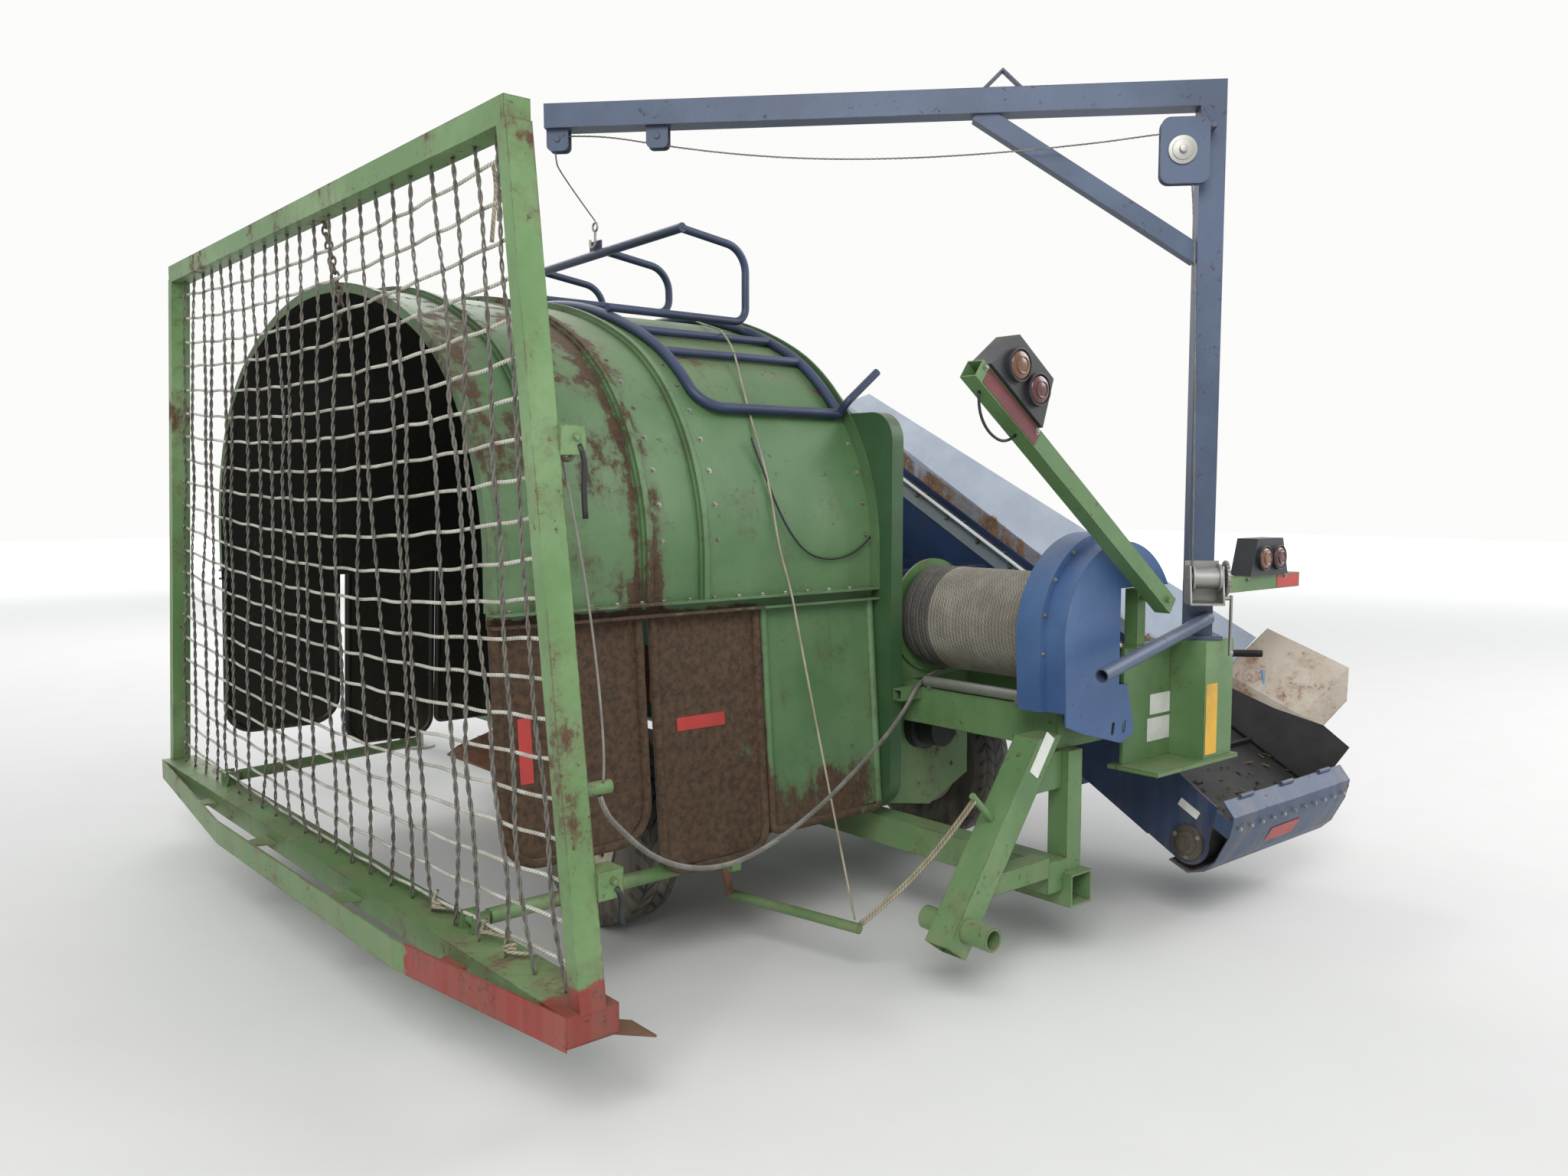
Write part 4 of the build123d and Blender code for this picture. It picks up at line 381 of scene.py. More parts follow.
def skirtRust(place):
    # The rear section and the middle skirt are nearly all rust; the front section only along its foot.
    sides = split(place)
    x, z = sides[0], sides[2]
    below = fade(z, *zones["skirtTop"])
    rear = fade(x, *zones["rearEnd"])
    middle = times(below, fade(x, *zones["middleEnd"]))
    foot = times(fade(z, *zones["skirtFoot"]), rusting["foot"])
    seam = fade(calc("ABSOLUTE", plus(x, zones["seam"])), 0.12, 0.0)
    amount = plus(plus(rusting["base"], times(rear, rusting["rear"])),
                  times(middle, rusting["middle"]))
    amount = plus(amount, times(times(rear, below), rusting["lowRear"]))
    amount = plus(plus(amount, times(seam, rusting["seam"])), foot)
    return times(amount, plus(times(outsideArch(place), 0.9), 0.1))


def tunnelPaintAndShade(place):
    # Green outside; inside the arch near black as painted shade.
    large = noise(place, 1.2, 5, 0.6)
    green = blendColour(fade(large, 0.36, 0.64), tone("#4a6c43"), tone("#617f57"))
    return blendColour(outsideArch(place), tone("#14150f"), green)


def bumperPaint(place):
    # Green, with a red near end whose skid plate is bare and rusty.
    x, y = split(place)[0:2]
    ragged = plus(y, times(noise(place, 14, 4, 0.6), 0.12))
    green = blendColour(noise(place, 3, 3, 0.5), tone("#5a7b4a"), tone("#738f61"))
    end = blendColour(fade(x, *zones["skid"]), tone("#8e302b"), tone("#6b4a36"))
    return blendColour(fade(ragged, *zones["bumperRed"]), end, green)


def stopPaint(place):
    # Green, with red paint left on the near post's foot.
    y, z = split(place)[1:3]
    ragged = times(noise(place, 18, 4, 0.6), 0.08)
    low = fade(plus(z, ragged), *zones["postRedTop"])
    near = fade(plus(y, ragged), *zones["postRedSide"])
    large = fade(noise(place, 1.6, 5, 0.6), 0.38, 0.66)
    green = blendColour(large, tone("#5c7f4b"), tone("#769465"))
    return blendColour(times(low, near), green, tone("#84302a"))


def winchPaint(place):
    # Bare steel, with a black grip at the crank's end.
    axis = (alongCrane(1000, 0, 0) - alongCrane(0, 0, 0)).normalized()
    grip = alongCrane(-97, 0, 0).dot(axis)
    bare = fade(dot(place, tuple(axis)), grip - zones["grip"], grip + zones["grip"])
    return blendColour(bare, tone("#17171a"), tone("#9c9c98"))


def wingStain(place):
    # The wing's lower band is stained brown, its upper face is clean zinc.
    return fade(dot(place, offBelt), *zones["wingStain"], 0.12, 0.66)


def treadCut(place):
    # The tyre's tread: slanting cuts round the crown, from the turn round the wheel's axis.
    x, y, z = split(place)[0:3]
    beside, above = minus(y, tyre["axle"][0]), minus(z, tyre["axle"][1])
    reach = calc("SQRT", plus(times(beside, beside), times(above, above)))
    turn = calc("DIVIDE", calc("ARCTAN2", above, beside), 2 * math.pi / tyre["blocks"])
    slant = fromHalf(calc("FRACT", times(x, tyre["slants"])))
    turn = plus(turn, times(slant, 1.8))
    blocks = fromHalf(calc("FRACT", turn))
    rings = fromHalf(calc("FRACT", times(x, tyre["rings"])))
    cuts = calc("MAXIMUM", fade(blocks, 0.34, 0.39), fade(rings, 0.41, 0.45))
    return times(cuts, fade(reach, *tyre["tread"]))


def tyrePaintAndGrooveShade(place):
    # Grey rubber, with painted shade in near black along the tread's cuts.
    return blendColour(treadCut(place), tone("#4b4740"), tone("#15140f"))


weathered("frameGreen", "#547547", "#6b8a5c", rust="#4b3527", rusting=0.24, streaks=0.2, chips=0.7, wear=1.0,
          dusting=0.3)
weathered("stopGreen", rust="#54392a", rusting=0.38, streaks=0.25, chips=0.9, wear=1.0, dusting=0.25,
          paintWhere=stopPaint)
# The tunnel's inside carries painted shade in near black.
weathered("tunnelGreen", rust="#483829", streaks=0.55, chips=0.5, dusting=0.25, rustWhere=skirtRust,
          paintWhere=tunnelPaintAndShade)
weathered("wallGreen", "#2f4f31", "#3d5d3b", rusting=0.2, chips=0.4, wear=0.7)
weathered("spoolGreen", "#4b753f", "#608754", rusting=0.42, chips=0.9, wear=1.0)
weathered("guardBlue", "#375581", "#4a6890", rusting=0.06, streaks=0.15, chips=0.5, wear=0.7, dusting=0.2)
weathered("craneBlue", "#3c4a62", "#4e5d76", rusting=0.08, chips=0.5, dusting=0.15)
weathered("navyBlue", "#20324f", "#2b4065", rusting=0.2, streaks=0.25, chips=0.8, wear=1.0, dusting=0.3)
weathered("cradleNavy", "#232f49", "#33415e", rusting=0.12, wear=0.9, dusting=0.15)
weathered("coverBlue", "#334763", "#465b7c", rusting=0.28, chips=1.0, wear=1.0, dusting=0.5)
weathered("bumperTwoTone", rust="#65331f", rusting=0.36, streaks=0.2, chips=1.0, wear=1.0, dusting=0.3,
          paintWhere=bumperPaint)
weathered("zinc", "#aab4c2", "#bcc5d0", rust="#7b6450", dust="#a79a86", streaks=0.5, chips=0.15, wear=0.3,
          dusting=0.1, metal=0.65, depth=0.0006, rustWhere=wingStain)
weathered("zincStrip", "#b8c0ca", "#c6ccd4", rust="#8c7460", rusting=0.2, chips=0.2, wear=0.4,
          metal=0.65, depth=0.0006)
weathered("wornSheet", "#b3a898", "#c4bbad", rust="#8a6a50", dust="#cfc6b8", rusting=0.36, streaks=0.2,
          chips=0.8, wear=1.0, dusting=0.4, metal=0.3)
weathered("rustyIron", "#7d4f33", "#925c38", rust="#5e3823", rusting=0.6, chips=1.0, dusting=0.5)
steel = {"rust": "#6a4c36", "rusting": 0.25, "wear": 0.5, "dusting": 0.2, "depth": 0.0006}
weathered("bareSteel", "#9c9c98", "#aaa9a3", metal=0.85, **steel)
weathered("winchSteel", metal=0.7, paintWhere=winchPaint, **steel)
weathered("motorBlack", "#1d1f21", "#2a2c2e", rust="#4b3527", rusting=0.2, wear=0.7, dusting=0.4)
weathered("lampBlack", "#242528", "#33343a", rust="#4d4a45", rusting=0.1, chips=0.2, wear=0.5,
          depth=0.0004)
weathered("rimCream", "#d9d2ba", "#e4dfcc", rust="#7c5a3c", rusting=0.34, chips=0.8, dusting=0.5)
plain("rubber", "#1b1b1b", "#2b2a29", 0.75, 46, 0.0012)
weathered("tyreRubber", rust="#5a4e40", dust="#857a69", rusting=0.2, chips=0.4, wear=0.2, dusting=0.75,
          depth=0.002, paintWhere=tyrePaintAndGrooveShade, cutWhere=treadCut)
roped("drumRope", "#8f897c", "#a39d90", 0.11, 6, metal=0.2)
roped("drumRopeDark", "#5d5a55", "#6c6861", 0.13, 6, metal=0.3)
plain("cableSteel", "#77746e", "#8a867f", 0.6, 150, 0.0004, metal=0.4)
roped("netPale", "#d2cfc2", "#b3afa1", 0.05, 3, depth=0.001)
plain("netDark", "#6f6c63", "#55524a", 0.85, 180, 0.0006)
roped("ropePale", "#b3a992", "#998f79", 0.045, 3, depth=0.001)
plain("blackLead", "#17181a", "#202225", 0.45, 60, 0.0003)
plain("amberLens", "#5f3b26", "#774d2e", 0.24, 40, 0.0002, coat=0.4)
plain("redLens", "#42181b", "#522024", 0.24, 40, 0.0002, coat=0.4)
plain("redTape", "#b3342e", "#8f2f2b", 0.4, 30, 0.0002)
plain("darkTape", "#5d262c", "#6f2f33", 0.4, 30, 0.0002)
plain("yellowTape", "#d7a52a", "#b98f33", 0.5, 26, 0.0002)
plain("whitePlate", "#d6d6cf", "#c2c2ba", 0.5, 30, 0.0002)
plain("boltZinc", "#9b9a94", "#7d776c", 0.45, 90, 0.0004, metal=0.7)
plain("blueBar", "#7f9fc4", "#6d8db3", 0.5, 40, 0.0004)
plain("chainSteel", "#5c5349", "#74685a", 0.6, 120, 0.0006, metal=0.5)
plain("cropBits", "#6b5a3e", "#3f3526", 0.95, 60, 0.001)
nodeFinish = {
    "frameGreen": ["axle", "lower_beam", "main_frame", "receiver_tube", "mast_socket", "support_leg", "tow_bar",
                   "rotor_housing", "lamp_arm_left", "lamp_arm_right"],
    "stopGreen": ["backstop_frame", "backstop_arm_near", "backstop_arm_far"],
    "tunnelGreen": ["tunnel_rear", "tunnel_front"],
    "wallGreen": ["front_wall"],
    "spoolGreen": ["drum_spool_near", "drum_spool_far"],
    "guardBlue": ["drum_guard_near", "drum_guard_far"],
    "craneBlue": ["crane_mast"],
    "navyBlue": ["conveyor_frame", "rotor_hopper"],
    "cradleNavy": ["bag_cradle"],
    "coverBlue": ["tail_cover"],
    "bumperTwoTone": ["backstop_bumper"],
    "zinc": ["conveyor_wing"],
    "zincStrip": ["side_strip"],
    "wornSheet": ["tail_wing"],
    "rustyIron": ["bag_pan", "rotor", "stripper_comb", "head_roller"],
    "bareSteel": ["crane_sheave", "drum_roller", "hoist_hook", "tow_jack"],
    "winchSteel": ["hand_winch"],
    "motorBlack": ["drum_brake_near", "drum_brake_far", "rotor_gearbox", "rotor_motor", "tail_roller"],
    "lampBlack": ["lamp_left", "lamp_right"],
    "rimCream": ["wheel_front", "wheel_rear"],
    "rubber": ["conveyor_belt", "trough_skirt"],
    "tyreRubber": ["tyre_front", "tyre_rear"],
    "drumRope": ["drum_rope_near", "drum_rope_far"],
    "cableSteel": ["drum_cable", "hoist_wire"],
    "netPale": ["backstop_net"],
}
for finish, names in nodeFinish.items():
    for name in names:
        slots = nodes[name].data.materials
        slots.clear()
        slots.append(finishes[finish])
missing = set(nodes) - {name for names in nodeFinish.values() for name in names}
print("nodes without a finish:", sorted(missing))


# Ropes and cables.
def centreLine(points, fineness=8):
    # The smooth line of a route: a NURBS spline with the route's points, read as Blender gives it.
    curve = bpy.data.curves.new("route", "CURVE")
    curve.dimensions = "3D"
    curve.resolution_u = fineness
    spline = curve.splines.new("NURBS")
    spline.points.add(len(points) - 1)
    for point, spot in zip(spline.points, points):
        point.co = (*spot, 1)
    spline.order_u = 3
    spline.use_endpoint_u = True
    holder = bpy.data.objects.new("route", curve)
    scene.collection.objects.link(holder)
    mesh = bpy.data.meshes.new_from_object(holder)
    line = [v.co.copy() for v in mesh.vertices]
    bpy.data.objects.remove(holder)
    bpy.data.meshes.remove(mesh)
    bpy.data.curves.remove(curve)
    return line


def lineLength(line):
    return sum((b - a).length for a, b in zip(line, line[1:]))


def evenLine(line, step):
    # The same line with its points a step apart.
    total = lineLength(line)
    count = max(int(round(total / step)), 2)
    spots, walked, i = [line[0].copy()], 0.0, 0
    for k in range(1, count):
        goal = total * k / count
        while walked + (line[i + 1] - line[i]).length < goal:
            walked += (line[i + 1] - line[i]).length
            i += 1
        share = (goal - walked) / (line[i + 1] - line[i]).length
        spots.append(line[i].lerp(line[i + 1], share))
    spots.append(line[-1].copy())
    return spots


def carried(line):
    # A frame carried along the line without twist: the tangent and two square directions at each point.
    tangents = []
    for i in range(len(line)):
        a, b = line[max(i - 1, 0)], line[min(i + 1, len(line) - 1)]
        tangents.append((b - a).normalized())
    side = tangents[0].orthogonal().normalized()
    frames = []
    for tangent in tangents:
        side = (side - tangent * side.dot(tangent)).normalized()
        frames.append((tangent, side, tangent.cross(side)))
    return frames


def ropeMesh(name, lines, radius, sides, material):
    # Round tubes along lines, closed at both ends, with a UV map in metres along and turns round.
    mesh = bpy.data.meshes.new(name)
    vertices, faces, uvs = [], [], []
    for line in lines:
        frames = carried(line)
        base, along = len(vertices), 0.0
        lengths = []
        for i, (spot, (tangent, side, other)) in enumerate(zip(line, frames)):
            if i:
                along += (spot - line[i - 1]).length
            lengths.append(along)
            for k in range(sides):
                turn = 2 * math.pi * k / sides
                vertices.append(spot + (side * math.cos(turn) + other * math.sin(turn)) * radius)
        for i in range(len(line) - 1):
            for k in range(sides):
                a, b = base + i * sides + k, base + i * sides + (k + 1) % sides
                faces.append((a, b, b + sides, a + sides))
                u0, u1, v0, v1 = lengths[i], lengths[i + 1], k / sides, (k + 1) / sides
                uvs += [(u0, v0), (u0, v1), (u1, v1), (u1, v0)]
        for first, order in ((base, -1), (base + (len(line) - 1) * sides, 1)):
            faces.append(tuple(first + k for k in range(sides))[::order])
            uvs += [(0.0, 0.0)] * sides
    mesh.from_pydata(vertices, [], faces)
    layer = mesh.uv_layers.new(name="along")
    for loop, uv in zip(layer.data, uvs):
        loop.uv = uv
    mesh.shade_smooth()
    mesh.materials.append(material)
    piece = bpy.data.objects.new(name, mesh)
    scene.collection.objects.link(piece)
    return piece


def strands(line, count, offset, pitch, start=0.0):
    # The lines of a rope's strands, wound round its own line.
    frames = carried(line)
    wound = [[] for _ in range(count)]
    along = 0.0
    for i, (spot, (tangent, side, other)) in enumerate(zip(line, frames)):
        if i:
            along += (spot - line[i - 1]).length
        for s in range(count):
            turn = 2 * math.pi * (along / pitch + s / count) + start
            wound[s].append(spot + (side * math.cos(turn) + other * math.sin(turn)) * offset)
    return wound


# Mesh helpers.
def deselect():
    bpy.ops.object.select_all(action="DESELECT")


def only(piece):
    deselect()
    piece.select_set(True)
    bpy.context.view_layer.objects.active = piece


def settle(piece):
    # The object's place goes into its mesh.
    only(piece)
    bpy.ops.object.transform_apply(location=True, rotation=True, scale=True)


def cylinder(sides, radius, tall, middle, rotation=(0, 0, 0)):
    bpy.ops.mesh.primitive_cylinder_add(
        vertices=sides, radius=radius, depth=tall, location=middle, rotation=rotation
    )
    piece = bpy.context.object
    settle(piece)
    return piece


def chamfer(piece, width, segments=2):
    only(piece)
    edgeCut = piece.modifiers.new("edge", "BEVEL")
    edgeCut.width = width
    edgeCut.segments = segments
    edgeCut.limit_method = "ANGLE"
    bpy.ops.object.modifier_apply(modifier=edgeCut.name)


def finishPiece(piece, material, body, angle=35):
    only(piece)
    piece.data.materials.clear()
    piece.data.materials.append(material)
    bpy.ops.object.shade_smooth_by_angle(angle=math.radians(angle))
    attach(piece, body)
    return piece


def joined(name, pieces):
    deselect()
    for piece in pieces:
        piece.select_set(True)
    bpy.context.view_layer.objects.active = pieces[0]
    if len(pieces) > 1:
        bpy.ops.object.join()
    pieces[0].name = name
    return pieces[0]


def copied(pattern, matrix):
    twin = pattern.copy()
    twin.data = pattern.data.copy()
    twin.data.transform(matrix)
    scene.collection.objects.link(twin)
    return twin


def standing(spot, direction, along=None):
    # A matrix that stands a pattern drawn up +Z on a spot, with its X towards along.
    up = Vector(direction).normalized()
    first = Vector(along or up.orthogonal())
    first = (first - up * first.dot(up)).normalized()
    turn = Matrix((first, up.cross(first), up)).transposed().to_4x4()
    return Matrix.Translation(spot) @ turn


print("cables")
cable = {"diameter": 0.016, "pitch": 0.11, "strands": 6, "offset": 0.0052, "wire": 0.0028}
cableRoute = [at(*p) for p in (
    (1939, -1392, 941.7), (1815, -1430, 936.7), (1700, -1474, 918), (1575, -1512, 824), (1430, -1553, 748),
    (1257, -1609, 687), (1065, -1671, 624), (880, -1730, 580), (700, -1788, 552), (529, -1843, 546),
    (371, -1894, 570), (227, -1941, 622), (115, -1974, 688), (35, -1987, 762), (-20, -1990, 820),
    (-34, -1989, 869),
)]
cableLine = evenLine(centreLine(cableRoute), cable["pitch"] / 10)
cableLines = strands(cableLine, cable["strands"], cable["offset"], cable["pitch"]) + [cableLine]
mainCable = ropeMesh("main_cable", cableLines, cable["wire"], 6, finishes["cableSteel"])
print("main cable length", round(lineLength(cableLine), 3))
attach(mainCable, "frame")
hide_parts("drum_cable")

hoist = {
    "diameter": 0.007, "pitch": 0.06, "strands": 3, "offset": 0.0019, "wire": 0.0016,
    "beside": 92, "from": 172, "to": 1930, "height": 2904.8,
}
# How far out along the boom, and how far above the sheave's top, the wire hangs.
boomSag = (
    (172, -1), (270, -10), (370, -20), (470, -27), (570, -33.2), (670, -38.4), (770, -42.4), (870, -45.2),
    (970, -46.7), (1070, -46.7), (1170, -45.2), (1270, -42.2), (1370, -37.4), (1470, -30.4), (1570, -21.4),
    (1670, -10.4), (1770, 2.6), (1870, 17.6), (1970, 34.1), (2070, 51.6), (2165, 69), (2245, 79), (2330, 83.5),
)
wireRoute = [alongCrane(35, 63.2, 1334), alongCrane(53.2, hoist["beside"], hoist["height"])]
for out, rise in boomSag:
    # The wire leaves the sheave beside the boom and nears its middle on the way out.
    aside = hoist["beside"] * max(0, hoist["to"] - out) / (hoist["to"] - hoist["from"])
    wireRoute.append(alongCrane(out, aside, hoist["height"] + rise))
wireRoute += [alongCrane(2420.8, 0, 2989.8), alongCrane(2421.8, -6, 2909.8), alongCrane(2428.8, -70, 2877.8)]
wireRoute.append(at(1215, 10, 2809.3))
wireLine = evenLine(centreLine(wireRoute), hoist["pitch"] / 5)
wireLines = strands(wireLine, hoist["strands"], hoist["offset"], hoist["pitch"])
hoistWire = ropeMesh("hoist_cable", wireLines, hoist["wire"], 5, finishes["cableSteel"])
print("hoist wire length", round(lineLength(wireLine), 3))
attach(hoistWire, "crane")
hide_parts("hoist_wire")

print("wound drums")
drum = {
    "centre": (1940, 1150), "inner": 1322.0, "outer": 1978.0, "outside": 0.2, "rope": 0.016, "pitch": 16,
    "darkTurns": 9, "steps": 40,
}


def woundRope(word, side):
    # The rope's turns side by side between the flanges, dark at the inner end.
    x, z = drum["centre"]
    wide, steps, dark = drum["outer"] - drum["inner"], drum["steps"], drum["darkTurns"]
    turns = int(wide / drum["pitch"])
    reach = drum["outside"] - drum["rope"] / 2
    parts = (("turns", dark, turns, "drumRope"), ("dark_turns", 0, dark, "drumRopeDark"))
    for part, start, end, finish in parts:
        line = []
        for i in range((end - start) * steps + 1):
            turn = 2 * math.pi * i / steps
            y = drum["inner"] + drum["pitch"] / 2 + (start + i / steps) * (wide - drum["pitch"]) / turns
            sink = 0.004 if part == "dark_turns" and (i // steps) % 3 == 0 else 0.0
            line.append(at(x, side * y, z) + Vector((math.cos(turn), 0, math.sin(turn))) * (reach - sink))
        piece = ropeMesh(f"wound_{part}_{word}", [line], drum["rope"] / 2, 8, finishes[finish])
        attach(piece, f"drum_{word}")
        if part == "turns":
            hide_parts(f"drum_rope_{word}")
    middle = at(x, side * (drum["inner"] + drum["outer"]) / 2, z)
    under = cylinder(64, reach - 0.004, wide / 1000 - 0.004, middle, (math.pi / 2, 0, 0))
    under.name = f"under_turns_{word}"
    chamfer(under, 0.003)
    finishPiece(under, finishes["drumRopeDark"], f"drum_{word}")


for word, side in (("near", -1), ("far", 1)):
    woundRope(word, side)

print("rope net")
net = {
    "rows": 21, "columns": 23, "low": 362, "high": 2566, "sag": 0.085, "rope": 0.011,
    "strand": 0.0038, "offset": 0.0036, "pitch": 0.09,
}
stop = {"x": -120, "middle": -200, "foot": 360, "top": 2640, "footHalf": 1860, "topHalf": 1550, "lashing": 28}


def netPoint(share, z, sag=0.0):
    # A place on the net: share runs from -1 at the near post to 1 at the far one.
    narrowed = (z - stop["foot"]) / (stop["top"] - stop["foot"]) * (stop["footHalf"] - stop["topHalf"])
    half = stop["footHalf"] - narrowed - stop["lashing"]
    return at(stop["x"], stop["middle"] + share * half, z) - Vector((0, 0, sag))


random.seed(7)
rowLines, columnLines = [], []
rise = (net["high"] - net["low"]) / (net["rows"] + 0.3)
for i in range(net["rows"]):
    deep = net["sag"] * (0.35 + 0.75 * (1 - abs(i / (net["rows"] - 1) - 0.45))) * (0.85 + 0.3 * random.random())
    tilt = (random.random() - 0.5) * 0.02
    spots = []
    for k in range(25):
        share = k / 12 - 1
        slack = 1 - share * share
        sag = deep * slack + tilt * share * (1 - abs(share)) + 0.006 * math.sin(k * 2.6 + i)
        spot = netPoint(share, net["low"] + (i + 0.8) * rise, sag)
        spot.z = max(spot.z, net["low"] / 1000 + 0.012)
        spots.append(spot + Vector((0.009 + 0.006 * slack, 0, 0)))
    rowLines.append(evenLine(centreLine(spots, 4), 0.03))
for i in range(net["columns"]):
    share = (i + 0.5) / net["columns"] * 2 - 1
    drift = [0.0]
    for k in range(13):
        drift.append(max(-0.03, min(0.03, drift[-1] + (random.random() - 0.5) * 0.036)))
    spots = []
    for k in range(14):
        z = net["high"] - k * (net["high"] - net["low"]) / 13
        pull = drift[k] if 0 < k < 13 else 0.0
        spots.append(netPoint(share + pull, z) + Vector((0.004 * math.sin(k * 2.1 + i), 0, 0)))
    line = evenLine(centreLine(spots, 4), 0.011)
    columnLines += strands(line, 2, net["offset"], net["pitch"], random.random() * 6)
netRows = ropeMesh("net_rows", rowLines, net["rope"] / 2, 7, finishes["netPale"])
netColumns = ropeMesh("net_columns", columnLines, net["strand"], 4, finishes["netDark"])
for piece in (netRows, netColumns):
    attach(piece, "frame")
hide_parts("backstop_net")


# Small fittings.
def bolts(name, spots, direction, radius, tall, body="frame", turned=False):
    # Hexagon heads on washers, modelled once and copied.
    washer = cylinder(14, radius * 1.55, tall * 0.3, (0, 0, tall * 0.15))
    head = cylinder(6, radius, tall, (0, 0, tall * 0.8))
    chamfer(head, radius * 0.16, 1)
    pattern = joined(name + "_pattern", [washer, head])
    pieces = []
    for i, spot in enumerate(spots):
        way = direction[i] if turned else direction
        pieces.append(copied(pattern, standing(spot, way) @ Matrix.Rotation(i * 0.7, 4, "Z")))
    bpy.data.objects.remove(pattern)
    return finishPiece(joined(name, pieces), finishes["boltZinc"], body)


def plate(name, spot, direction, along, wide, tall, finish, body="frame", thick=0.0014, corner=0.004):
    # A thin plate or strip with rounded corners, its foot on the surface.
    bpy.ops.mesh.primitive_cube_add(size=1, location=(0, 0, thick / 2), scale=(wide, tall, thick))
    piece = bpy.context.object
    settle(piece)
    bpy.ops.object.mode_set(mode="EDIT")
    shape = bmesh.from_edit_mesh(piece.data)
    for item in shape.edges:
        item.select = abs((item.verts[0].co - item.verts[1].co).z) > thick * 0.5
    bmesh.update_edit_mesh(piece.data)
    bpy.ops.mesh.select_mode(type="EDGE")
    bpy.ops.mesh.bevel(offset=corner, segments=3, affect="EDGES")
    bpy.ops.object.mode_set(mode="OBJECT")
    piece.data.transform(standing(spot, direction, along))
    piece.name = name
    return finishPiece(piece, finishes[finish], body)


def lens(name, spot, direction, radius, tall, finish, body):
    # A domed lamp lens with a shallow step, ring by ring from its flat back to its top.
    sides, levels, back = 32, 8, lampFace["back"]
    turn = math.pi / 2 / levels
    profile = [(radius - back / math.sin(turn) * (1 - math.cos(turn)), back * tall / radius)]
    for level in range(1, levels):
        sink = 0.12 if level == 4 else 0
        profile.append((radius * math.cos(turn * level), tall * (math.sin(turn * level) - sink)))
    vertices = []
    for reach, height in profile:
        for k in range(sides):
            way = 2 * math.pi * k / sides
            vertices.append((reach * math.cos(way), reach * math.sin(way), height))
    vertices.append((0, 0, tall))
    faces = [tuple(range(sides))[::-1]]
    for i in range(levels):
        for k in range(sides):
            a, b = i * sides + k, i * sides + (k + 1) % sides
            faces.append((a, b, b + sides, a + sides) if i < levels - 1 else (a, b, levels * sides))
    mesh = bpy.data.meshes.new(name)
    mesh.from_pydata(vertices, [], faces)
    mesh.uv_layers.new(name="UVMap")
    mesh.transform(standing(spot, direction))
    piece = bpy.data.objects.new(name, mesh)
    scene.collection.objects.link(piece)
    return finishPiece(piece, finishes[finish], body)


def ring(name, spot, rotation, reach, wire, segments, finish, body="frame"):
    bpy.ops.mesh.primitive_torus_add(
        location=spot, rotation=rotation, major_radius=reach, minor_radius=wire, major_segments=segments[0],
        minor_segments=segments[1],
    )
    piece = bpy.context.object
    settle(piece)
    piece.name = name
    return finishPiece(piece, finishes[finish], body)


def discs(name, sizes, cut, matrix, finish, body="frame"):
    # Round discs from one face, each with its radius and height.
    pieces = []
    for radius, tall in sizes:
        disc = cylinder(40, radius, tall, (0, 0, tall / 2))
        chamfer(disc, cut)
        pieces.append(disc)
    piece = joined(name, pieces)
    piece.data.transform(matrix)
    return finishPiece(piece, finishes[finish], body)


def softLine(name, points, diameter, finish, body="frame"):
    # A small free rope or lead along its own spline.
    line = evenLine(centreLine(points), max(diameter * 1.4, 0.012))
    piece = ropeMesh(name, [line], diameter / 2, 7, finishes[finish])
    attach(piece, body)
    return piece


def rodPiece(name, points, radius, finish):
    piece = ropeMesh(name, [points], radius, 14, finishes[finish])
    return finishPiece(piece, finishes[finish], "frame", angle=40)


print("lamps")
lampFace = {
    "glass": -57, "outer": -59, "inner": -67, "up": 101, "apart": 57, "radius": 0.0425, "dome": 0.012,
    "back": 0.0005,
}
edgeOn = (math.pi / 2, 0, 0)
for word, onArm, body, centre in (
    ("left", onLeftArm, "lamp_left", 1070), ("right", onRightArm, "lamp_right", 480)
):
    for i, (side, finish) in enumerate(((1, "amberLens"), (-1, "redLens"))):
        along = centre + (side if word == "left" else -side) * lampFace["apart"]
        lens(f"lens_{word}_{i}", onArm(along, lampFace["glass"], lampFace["up"]), nearward, lampFace["radius"],
             lampFace["dome"], finish, body)
        for part, reach, rim in (("outer", 0.0475, "lampBlack"), ("inner", 0.024, finish)):
            spot = onArm(along, lampFace[part], lampFace["up"])
            ring(f"lens_ring_{part}_{word}_{i}", spot, edgeOn, reach, 0.003, (40, 8), rim, body)
    spots = [onArm(centre + along, -30.5, 18) for along in (-150, 150)]
    bolts(f"lamp_bolts_{word}", spots, nearward, 0.007, 0.006, body)
alongArm = onLeftArm(1, 0, 0) - onLeftArm(0, 0, 0)
plate("stripe_left", onLeftArm(1055, -30.3, 0), nearward, alongArm, 0.3, 0.05, "darkTape", "lamp_left")
plate("stripe_right", onRightArm(660, -30.3, 0), nearward, across, 0.18, 0.052, "redTape", "lamp_right")

print("plates and tapes")
skirt = {"top": 1234, "drop": 840, "flare": 65, "out": 1316.5}
skirtLean = Vector((0, -1, skirt["flare"] / skirt["drop"])).normalized()


def onSkirt(x, z):
    return at(x, -(skirt["out"] + (skirt["top"] - z) * skirt["flare"] / skirt["drop"]), z)


plate("tape_rear", onSkirt(104, 858), skirtLean, across, 0.045, 0.2, "redTape")
plate("tape_middle", onSkirt(766, 868), skirtLean, across, 0.2, 0.045, "redTape")
plate("tape_yellow", at(2372, -2295.2, 815), nearward, across, 0.075, 0.26, "yellowTape")
plate("plate_upper", at(2262, -2152.5, 868), nearward, across, 0.13, 0.075, "whitePlate")
plate("plate_lower", at(2268, -2152.5, 775), nearward, across, 0.17, 0.085, "whitePlate")

print("bolts")
